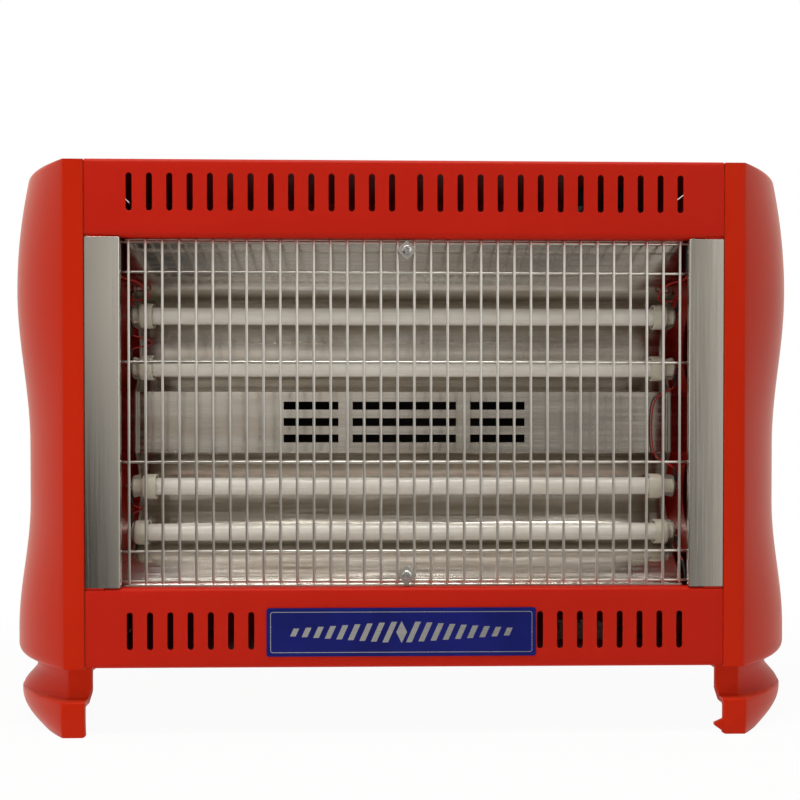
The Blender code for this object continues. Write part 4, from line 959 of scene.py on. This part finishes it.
washer_radius = 0.0032
washer_profile = [(0.0008, 0), (washer_radius, 0), (washer_radius, 0.0005), (0.0008, 0.0005), (0.0008, 0)]
stud_profile = [(0.0, 0.0001), (0.0013, 0.0001), (0.0013, 0.0044), (0.0010, 0.0048), (0.0, 0.0048)]
nut_seat, nut_across, nut_thick = 0.0007, 0.0054, 0.0019
for side, word in both_sides:
    for number in (1, 2, 3, 4):
        low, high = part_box("terminal_%s_%d" % (word, number))
        base = high.x if side < 0 else low.x
        centre = np.array([base, (low.y + high.y) / 2, (low.z + high.z) / 2])
        axis = np.array([side, 0, 0])
        washer = turned_grid(washer_profile, centre, axis, 28)
        nut = hex_nut(centre + axis * nut_seat, axis, nut_across, nut_thick, 0.3 * number + side)
        stud = turned_grid(stud_profile, centre, axis, 20)
        terminal = patch_mesh("stud_and_nut_%s_%d" % (word, number), [washer, nut, stud], sharp=30.0)
        dress(terminal, screw_plate, "zinc_steel", "terminal_%s_%d" % (word, number))


# Leads: thin red wire with a black boot at each terminal. The supply leads and the return wear a
# black sleeve from the corner where they leave the chamber.

lead_radius, sleeve_radius, supply_radius = 0.0006, 0.0011, 0.00125
boot_radius, boot_taper, boot_length, boot_lean = 0.0017, 0.0009, 0.0145, 0.0022
lead_stand = 0.0016
link_depth, corner_x, corner_y = 0.0064, 0.2140, front_y + 0.017


def smooth_route(points, steps=10):
    """A Catmull-Rom curve through given points: each stretch is a cubic whose ends lean
    along the line between its neighbours."""
    guide = np.array(points, float)
    guide = np.concatenate([[2 * guide[0] - guide[1]], guide, [2 * guide[-1] - guide[-2]]])
    t = np.linspace(0, 1, steps + 1)[:-1, None]
    runs = []
    for a, b, c, d in zip(guide, guide[1:], guide[2:], guide[3:]):
        square, cube = 2 * a - 5 * b + 4 * c - d, 3 * b - a - 3 * c + d
        runs.append(0.5 * (2 * b + (c - a) * t + square * t ** 2 + cube * t ** 3))
    return np.concatenate(runs + [guide[-2:-1]])


def tube_along(path, radius, sides=12):
    """A round tube: at each point of a path a circle square to its heading, closed at both ends."""
    heading = np.gradient(path, axis=0)
    heading /= np.linalg.norm(heading, axis=1, keepdims=True)
    side = np.cross(heading, (0.02, 1.0, 0.01))
    side /= np.linalg.norm(side, axis=1, keepdims=True)
    other = np.cross(heading, side)
    turn = np.linspace(0, 2 * math.pi, sides + 1)[:, None]
    out = np.cos(turn) * side[:, None] + np.sin(turn) * other[:, None]
    rings = path[:, None] + out * np.broadcast_to(radius, len(path))[:, None, None]
    ends = [np.repeat(path[index][None, None], sides + 1, 1) for index in (0, -1)]
    return np.concatenate([ends[0], rings, ends[1]])


def boot(path):
    """A moulded boot over the first part of a path: thick at the terminal, with a round shoulder,
    and thinning in a straight taper to the wire."""
    run = np.concatenate([[0], np.cumsum(np.linalg.norm(np.diff(path, axis=0), axis=1))])
    share = run / run[-1]
    shoulder = np.sqrt(np.clip(1 - (1 - np.minimum(share / 0.09, 1)) ** 2, 0.16, 1))
    return tube_along(path, (boot_radius - boot_taper * share) * shoulder)


black_sleeving = grained_finish("black_sleeving", (0.018, 0.017, 0.017), 0.55, 2500.0, 0.0001, tone=0.2)
red_insulation = grained_finish("red_insulation", (0.42, 0.014, 0.008), 0.38, 900.0, 0.00003)
lead_x = tube_ends["right", 1][0] + lead_stand
contact = washer_radius + lead_radius
tube_y = tube_ends["right", 1][1]
levels = [tube_ends["right", number][2] for number in (1, 2, 3, 4)]
landing = switch_boxes[0][0].z - 0.0003


def boot_stops(side, number, away):
    """Where a lead leaves a terminal, up (1) or down (-1), leaning in as it goes."""
    z = levels[number - 1]
    return [(side * lead_x, tube_y, z + away * contact),
            (side * (lead_x - boot_lean * 0.3), tube_y, z + away * boot_length * 0.6),
            (side * (lead_x - boot_lean), tube_y, z + away * boot_length)]


def supply_stops(side, switch_x):
    """From the top terminal, round behind the trim strip, out at the corner and on to a switch."""
    top = levels[0]
    stops = boot_stops(side, 1, 1)[:1] + [
        (side * (lead_x - 0.0006), tube_y - 0.003, top + 0.0118),
        (side * 0.2010, tube_y - 0.003, top + 0.0122),
        (side * 0.1970, tube_y - 0.005, top + 0.0160),
        (side * 0.2040, tube_y - 0.009, top + 0.0245),
        (side * (corner_x - 0.001), corner_y + 0.004, opening_top - 0.0275),
        (side * corner_x, corner_y, opening_top - 0.022),
        (side * corner_x, corner_y, opening_top - 0.002),
        (side * corner_x, corner_y + 0.006, opening_top + 0.016),
        (side * (corner_x - 0.010), corner_y + 0.020, opening_top + 0.022)]
    if side < 0:
        stops += [(-0.120, corner_y + 0.022, opening_top + 0.020),
                  (0.0, corner_y + 0.022, opening_top + 0.018),
                  (0.110, corner_y + 0.026, opening_top + 0.020)]
    return stops + [(switch_x, switch_y - 0.004, landing - 0.012),
                    (switch_x, switch_y, landing - 0.005),
                    (switch_x, switch_y, landing)]


def add_lead(name, wire, covers):
    """A lead in two pieces: the red wire stands for the CAD node, and the black covers go over it."""
    lead = patch_mesh("wire_" + name, [tube_along(wire, lead_radius)])
    dress(lead, red_insulation, "black_sleeving", name)
    cover = patch_mesh("sleeves_" + name, covers)
    dress(cover, black_sleeving, "black_sleeving")


for name, side, upper, lower, column, hang in (("lead_link_left_upper", -1, 1, 2, 0.1985, 0.35),
                                               ("lead_link_left_lower", -1, 3, 4, 0.2055, 0.40),
                                               ("lead_link_right", 1, 2, 3, 0.1967, 0.20)):
    top, bottom = levels[upper - 1] - boot_length, levels[lower - 1] + boot_length
    drop = (top - bottom) * hang
    middle = [(side * column, tube_y + link_depth, z) for z in (top - drop, bottom + drop)]
    path = smooth_route(boot_stops(side, upper, -1) + middle + boot_stops(side, lower, 1)[::-1])
    add_lead(name, path, [boot(path[:21]), boot(path[::-1][:21])])

for side, word, switch_x in ((-1, "left", switch_xs[0]), (1, "right", switch_xs[1])):
    path = smooth_route(supply_stops(side, switch_x))
    add_lead("lead_supply_" + word, path[:63], [boot(path[:11]), tube_along(path[60:], supply_radius)])

block_low, block_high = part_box("terminal_block")
block_z = block_low.z + (block_high.z - block_low.z) * 0.6
block_y = (block_low.y + block_high.y) / 2
start = [(lead_x, y - forward, z)
         for (_, y, z), forward in zip(boot_stops(1, 4, -1), (0.0, 0.0012, 0.0056))]
path = smooth_route(start + [
    (corner_x, corner_y + 0.0095, opening_bottom + 0.0165),
    (corner_x, corner_y + 0.002, opening_bottom + 0.005),
    (corner_x, corner_y + 0.004, opening_bottom - 0.012),
    (corner_x - 0.014, corner_y + 0.020, block_z + 0.002),
    (block_high.x + 0.012, block_y - 0.006, block_z),
    (block_high.x + 0.0003, block_y, block_z)])
add_lead("lead_return", path[:33], [boot(path[:21]), tube_along(path[30:], sleeve_radius)])


# Badge plate: a thin enamelled plate, deep blue with a bright border line round a plain row of
# leaning bars and one lozenge. It is glued to the lower fascia.

badge_corner, border_inset, border_width = 0.002, 0.0028, 0.0005
bar_pitch, bar_half, bar_half_height, lozenge_half = 0.0088, 0.0021, 0.0082, 0.0040
badge_low, badge_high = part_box("badge_plate")


def rounded_rectangle(centre, half_width, half_height, corner, steps=8):
    """Outline (n by 2) of a rectangle with quarter-circle corners, closed on its first point."""
    parts = []
    for quarter, (right, up) in enumerate(((1, 1), (-1, 1), (-1, -1), (1, -1))):
        angle = np.linspace(0, math.pi / 2, steps + 1) + quarter * math.pi / 2
        hub = (right * (half_width - corner), up * (half_height - corner))
        parts.append(hub + corner * np.stack([np.cos(angle), np.sin(angle)], 1))
    return np.concatenate(parts + [parts[0][:1]]) + centre


badge_blue = grained_finish("blue_enamel", (0.006, 0.010, 0.14), 0.34, 400.0, 0.00001, tone=0.25, cloud=14.0,
                            Specular_IOR_Level=0.14)
badge_silver = streaked_metal("badge_silver", (0.75, 0.76, 0.78), (0.6, 0.6, 0.62), 0.25, (60, 300, 300),
                              (40, 40, 40), 0.05, 0.1, 0.00001)
badge_centre = ((badge_low.x + badge_high.x) / 2, (badge_low.z + badge_high.z) / 2)
badge_half = ((badge_high.x - badge_low.x) / 2, (badge_high.z - badge_low.z) / 2)
outline = rounded_rectangle(badge_centre, badge_half[0], badge_half[1], badge_corner)
plate = plate_grid(outline, badge_centre, [
    (0.0, badge_high.y), (1.0, badge_high.y), (1.0, badge_low.y + 0.0002), (0.9985, badge_low.y + 0.00005),
    (0.994, badge_low.y + 0.00003), (0.0, badge_low.y + 0.00003)])
badge = patch_mesh("badge_enamel", [plate])
dress(badge, badge_blue, "blue_badge", "badge_plate")

face_y, back_y = badge_low.y, badge_low.y + 0.00004
outer, inner = [rounded_rectangle(badge_centre, badge_half[0] - inset, badge_half[1] - inset, corner)
                for inset, corner in ((border_inset, badge_corner),
                                      (border_inset + border_width, badge_corner - border_width))]
lines = np.stack([stand_up(ring, y) for ring, y in (
    (inner, back_y), (inner, face_y), (outer, face_y), (outer, back_y), (inner, back_y))])
bars = []
for step in range(-9, 10):
    middle = np.array([badge_centre[0] + step * bar_pitch, badge_centre[1]])
    tall = bar_half_height * (1 - abs(step) / 14)
    lean = 0.45 * tall
    shape = [(-bar_half - lean, -tall), (bar_half - lean, -tall), (bar_half + lean, tall),
             (-bar_half + lean, tall)]
    if step == 0:
        shape = [(0, -tall), (lozenge_half, 0), (0, tall), (-lozenge_half, 0)]
    bars.append(plate_grid(np.array(shape + shape[:1]) + middle, middle, [
        (0.0, back_y), (1.0, back_y), (1.0, face_y), (0.0, face_y)]))
border = patch_mesh("badge_border", [lines] + bars)
dress(border, badge_silver, "blue_badge")


# Rocker switches: a black bezel and well snapped into the deck, and a glossy red rocker on two
# trunnions in each. They are off at rest, so the front edge of each rocker stands up.

bezel_height, bezel_gap, housing_depth = 0.002, 0.0003, 0.016
rocker_tip, rocker_half, rocker_rise, rocker_lift = 0.0116, 0.0047, 0.0022, 0.0010
rocker_tilt = math.radians(-8)
pivot_z = body_top + bezel_gap + bezel_height - rocker_rise


def stacked_rings(centre, rows):
    """Rounded rectangles stacked along Z: each row is (half width, half depth, corner, height)."""
    return np.stack([at_height(rounded_rectangle(centre, *row[:3]), row[3]) for row in rows])


def rocker_rings():
    """A rocker about its pivot: its side view has a hollow top, z = rise + lift * (y / tip)^2, and
    rounded lower corners. It is carried across the width and drawn in a little at both faces."""
    y = np.linspace(-rocker_tip + 0.0004, rocker_tip - 0.0004, 15)
    top = np.column_stack([y, rocker_rise + rocker_lift * (y / rocker_tip) ** 2])
    front = [(rocker_tip, rocker_rise + rocker_lift - 0.0004), (rocker_tip - 0.0010, -0.0025),
             (0.004, -0.0036)]
    low = folded_line(front + [(-y, z) for y, z in front[::-1]], 0.0006, 4)
    view = np.concatenate([top, low, top[:1]])
    rings = []
    for inset, share in ((0.0, 0.0), (0.0, 0.95), (0.0002, 0.985), (0.0005, 1.0)):
        rings.append(np.column_stack([np.full(len(view), inset - rocker_half), view * share]))
    return np.stack(rings + [ring * (-1, 1, 1) for ring in rings[::-1]])


def tilt(points, x):
    """Turn points by the rest angle about the pivot line and set them at a switch."""
    cosine, sine = math.cos(rocker_tilt), math.sin(rocker_tilt)
    turned = points @ np.array([(1, 0, 0), (0, cosine, sine), (0, -sine, cosine)])
    return turned + (x, switch_y, pivot_z)


black_plastic = grained_finish("black_plastic", (0.016, 0.016, 0.017), 0.38, 1200.0, 0.00004, tone=0.15)
rocker_red = grained_finish("switch_red", (0.48, 0.010, 0.008), 0.18, 300.0, 0.00001, tone=0.04,
                            Coat_Weight=0.5, Coat_Roughness=0.06)
floor, under = body_top - housing_depth, body_top + bezel_gap
top = under + bezel_height
shell_rows = [
    (0.0, 0.0, 0.0, floor), (0.0059, 0.0133, 0.0006, floor), (0.0061, 0.0135, 0.0008, floor + 0.0003),
    (0.0061, 0.0135, 0.0008, under), (0.0074, 0.0152, 0.0012, under),
    (0.00775, 0.0155, 0.0014, under + 0.0004), (0.00775, 0.0155, 0.0014, top - 0.0008),
    (0.0076, 0.01535, 0.0013, top - 0.0003), (0.0073, 0.01505, 0.0012, top),
    (0.0054, 0.0128, 0.0008, top), (0.0051, 0.0125, 0.0006, top - 0.0004),
    (0.0051, 0.0125, 0.0006, floor + 0.003), (0.0, 0.0, 0.0, floor + 0.003)]
trunnion_profile = [(0.0, -0.0057), (0.0015, -0.0057), (0.0015, 0.0057), (0.0, 0.0057)]
trunnions = turned_grid(trunnion_profile, (0, 0, 0), (1, 0, 0), 24)
for number, x in zip((1, 2), switch_xs):
    housing = patch_mesh("switch_shell_%d" % number, [stacked_rings((x, switch_y), shell_rows)])
    dress(housing, black_plastic, "black_plastic", "switch_housing_%d" % number)
    rocker = patch_mesh("rocker_cap_%d" % number, [tilt(rocker_rings(), x), tilt(trunnions, x)])
    dress(rocker, rocker_red, "switch_red", "rocker_%d" % number, body="rocker_%d" % number)


# Rear screws, cord bushing and terminal block: plated screws hold the rear panel, a turned black
# bushing lines the cord's hole, and the cream block inside joins the leads under three screws.

cream_plastic = grained_finish("cream_plastic", (0.70, 0.65, 0.53), 0.45, 700.0, 0.00004)
panel_head, panel_head_height, panel_shank = 0.0036, 0.0020, 0.0018
for number in (1, 2, 3, 4):
    low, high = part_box("rear_screw_%d" % number)
    spot = ((low.x + high.x) / 2, high.y - panel_head_height, (low.z + high.z) / 2)
    screw = patch_mesh("panel_screw_%d" % number, screw_grids(
        spot, (0, 1, 0), panel_head, panel_head_height, panel_shank, spot[1] - low.y, 0.4 * number))
    dress(screw, screw_plate, "zinc_steel", "rear_screw_%d" % number)

flange = profile_arc(0.0082, 0.0017, 0.0008, 0.0008, 0, math.pi / 2, 5)
throat = profile_arc(0.0044, 0.0019, -0.0006, 0.0006, math.pi / 2, 0, 4)
bushing_profile = np.concatenate([
    [(0.0065, -0.0120), (0.0065, 0.0), (0.0088, 0.0), (0.0090, 0.0002)], flange, throat,
    [(0.0038, -0.0116), (0.0042, -0.0120), (0.0065, -0.0120)]])
bushing_spot = (cord_hole[0], rear_y + 0.0003, cord_hole[1])
bushing = patch_mesh("turned_bushing", [turned_grid(bushing_profile, bushing_spot, (0, 1, 0), 48)])
dress(bushing, black_plastic, "black_plastic", "cord_bushing")

block_middle = ((block_low.x + block_high.x) / 2, block_y)
half_x, half_y = (block_high.x - block_low.x) / 2, (block_high.y - block_low.y) / 2
block_grids = [stacked_rings(block_middle, [
    (0.0, 0.0, 0.0, block_low.z), (half_x, half_y, 0.001, block_low.z), (half_x, half_y, 0.001, block_z),
    (half_x - 0.0006, half_y - 0.0006, 0.0006, block_z + 0.0006), (0.0, 0.0, 0.0, block_z + 0.0006)])]
for step in (-1, 0, 1):
    spot = (block_middle[0] + step * 0.0135, block_y)
    block_grids.append(stacked_rings(spot, [
        (0.0052, 0.0070, 0.001, block_z), (0.0050, 0.0068, 0.001, block_high.z - 0.0005),
        (0.0045, 0.0063, 0.001, block_high.z), (0.0030, 0.0030, 0.003, block_high.z),
        (0.0030, 0.0030, 0.003, block_z + 0.001), (0.0, 0.0, 0.0, block_z + 0.001)]))
block = patch_mesh("terminal_strip", block_grids)
dress(block, cream_plastic, "cream_plastic", "terminal_block")


# Studio: a white floor that keeps the heater's soft shadow and fades to plain white far off, and a
# world that is white to the camera and mirrors and dim to everything else.

floor_reach = 6.0
floor_line = np.array([(-floor_reach, 0.0), (floor_reach, 0.0)])
floor_mesh = patch_mesh("studio_floor", [across_columns(floor_line, [-floor_reach, floor_reach])])
floor_finish = new_finish("floor_white", Base_Color=(0.93, 0.93, 0.93, 1), Roughness=0.9,
                          Specular_IOR_Level=0.1)
tree = floor_finish.node_tree
far = add_node(tree, "ShaderNodeVectorMath", {"operation": "LENGTH"}, i0=object_place(tree))
fade = add_node(tree, "ShaderNodeMapRange", {"interpolation_type": "SMOOTHSTEP"}, Value=far.outputs["Value"],
                From_Min=0.36, From_Max=0.80, To_Min=0.95, To_Max=1.0)
glow = add_node(tree, "ShaderNodeEmission", Color=(1, 1, 1, 1), Strength=1.0)


def white_rays(tree):
    """One for the rays that see the white background: from the camera, a mirror or a glass."""
    path = add_node(tree, "ShaderNodeLightPath")
    first = add_node(tree, "ShaderNodeMath", {"operation": "MAXIMUM"}, i0=path.outputs["Is Camera Ray"],
                     i1=path.outputs["Is Glossy Ray"])
    return add_node(tree, "ShaderNodeMath", {"operation": "MAXIMUM"}, i0=first.outputs[0],
                    i1=path.outputs["Is Transmission Ray"]).outputs[0]


share = add_node(tree, "ShaderNodeMath", {"operation": "MULTIPLY"}, i0=white_rays(tree), i1=fade.outputs[0])
mix = add_node(tree, "ShaderNodeMixShader", i0=share.outputs[0],
               i1=tree.nodes["Principled BSDF"].outputs[0], i2=glow.outputs[0])
tree.links.new(mix.outputs[0], tree.nodes["Material Output"].inputs["Surface"])
floor_mesh.data.materials.append(floor_finish)

world = bpy.data.worlds.new("studio")
bpy.context.scene.world = world
world.use_nodes = True
tree = world.node_tree
tree.nodes.clear()
around = add_node(tree, "ShaderNodeBackground", Color=(1.0, 0.975, 0.94, 1), Strength=0.26)
white = add_node(tree, "ShaderNodeBackground", Color=(1, 1, 1, 1), Strength=1.0)
mix = add_node(tree, "ShaderNodeMixShader", i0=white_rays(tree), i1=around.outputs[0], i2=white.outputs[0])
add_node(tree, "ShaderNodeOutputWorld", Surface=mix.outputs[0])


# Reflection cove: a curved card that only mirrors see. It lies on the floor in front of the heater,
# rises behind the camera and leans over the top, dim at its foot and pale above.

cove_front, cove_height, cove_bend, cove_half = -2.4, 2.3, 0.8, 2.6
lens_x, lens_image_y, image_depth = -0.023, 0.704, 0.78
cove_places = (-0.36, -0.225, -0.14, 0.02, 0.10, 0.18, 0.26)
foot_levels = (0.0, 0.0, 0.42, 0.30, 0.21, 0.17, 0.75)
top_levels = (0.30, 0.48, 0.76, 0.52, 0.38, 0.28, 0.85)
near_levels = (0.0, 0.0, 0.39, 0.32, 0.22, 0.16, 0.42)


def cove_level(x, y, z):
    """Brightness over the cove. A straight line from each spot to the lens's mirror image behind the
    heater's front crosses that front at one place. Tables over this place set the wall's foot and
    its top, with half a cosine wave between them, and the far and near floor. The top dims again."""
    seen = (x - lens_x) * image_depth / (lens_image_y - y) + lens_x
    foot = np.interp(seen, cove_places, foot_levels)
    top = np.interp(seen, cove_places, top_levels)
    near = np.interp(seen, cove_places, near_levels)
    wall = foot + (top - foot) * cosine_blend((z + 0.12) / 0.85)
    wall *= 1 - 0.35 * cosine_blend((z - 0.9) / 0.8)
    ground = foot + (near - foot) * cosine_blend((y + 0.9) / 0.6)
    return np.where(z < 0.02, ground, wall)


line = folded_line([(-0.12, 0.001), (cove_front, 0.001), (cove_front, cove_height), (0.4, cove_height)],
                   cove_bend, 24)
line = np.concatenate([np.linspace(line[0], line[1], 24)[:-1], line[1:]])
cove = patch_mesh("reflection_cove", [across_columns(line, np.linspace(-cove_half, cove_half, 80))])
spots = np.empty(len(cove.data.vertices) * 3)
cove.data.vertices.foreach_get("co", spots)
level = cove.data.attributes.new("level", "FLOAT", "POINT")
level.data.foreach_set("value", cove_level(*spots.reshape(-1, 3).T).astype(np.float32))
cove_finish = bpy.data.materials.new("cove_card")
cove_finish.use_nodes = True
tree = cove_finish.node_tree
tree.nodes.clear()
told = add_node(tree, "ShaderNodeAttribute", {"attribute_name": "level"})
card = add_node(tree, "ShaderNodeEmission", Color=(1.0, 0.95, 0.875, 1), Strength=told.outputs["Fac"])
add_node(tree, "ShaderNodeOutputMaterial", Surface=card.outputs[0])
cove.data.materials.append(cove_finish)
cove.visible_camera = False
cove.visible_diffuse = False
cove.visible_shadow = False
cove.visible_transmission = False


# Lamps: a long one overhead, so that the top fascia shades the upper tubes, a broad one from the
# upper left, a weak fill from the right, and a low one that reaches the feet.

def soft_lamp(name, place, target, size, power, colour=(1, 1, 1)):
    """A rectangular area lamp that looks at a target."""
    data = bpy.data.lights.new(name, "AREA")
    data.shape = "RECTANGLE"
    data.size, data.size_y = size
    data.energy = power
    data.color = colour
    lamp = bpy.data.objects.new(name, data)
    lamp.location = place
    lamp.rotation_euler = Vector(np.subtract(target, place)).to_track_quat("-Z", "Y").to_euler()
    bpy.context.scene.collection.objects.link(lamp)
    return lamp


soft_lamp("key_lamp", (-0.75, -1.0, 1.72), (0, 0, 0.2), (1.1, 0.8), 4.5, (1.0, 0.975, 0.93))
soft_lamp("fill_lamp", (1.3, -1.5, 1.2), (0, 0, 0.2), (1.0, 1.0), 3.0, (1.0, 0.975, 0.93))
soft_lamp("top_lamp", (-0.05, -0.42, 1.75), (0, -0.06, 0.2), (1.2, 0.3), 17.0, (1.0, 0.98, 0.95))
low_lamp = soft_lamp("low_lamp", (-0.8, -1.0, 0.16), (-0.1, 0, 0.08), (0.9, 0.3), 3.0, (1.0, 0.975, 0.93))
low_lamp.visible_glossy = False


# Camera: at the photograph's viewing angle, level with the reflector's middle and turned a shade
# to the right.

camera_data = bpy.data.cameras.new("front_camera")
camera = bpy.data.objects.new("front_camera", camera_data)
camera_data.sensor_width = 36.0
camera_data.sensor_fit = "HORIZONTAL"
camera_data.lens = 47.4
camera_data.shift_y = 0.06
camera.location = (lens_x, -0.855, 0.2232)
camera.rotation_euler = (math.radians(90 - 0.65), 0, math.radians(-1.35))
bpy.context.scene.collection.objects.link(camera)
bpy.context.scene.camera = camera
bpy.context.scene.view_settings.view_transform = "Standard"
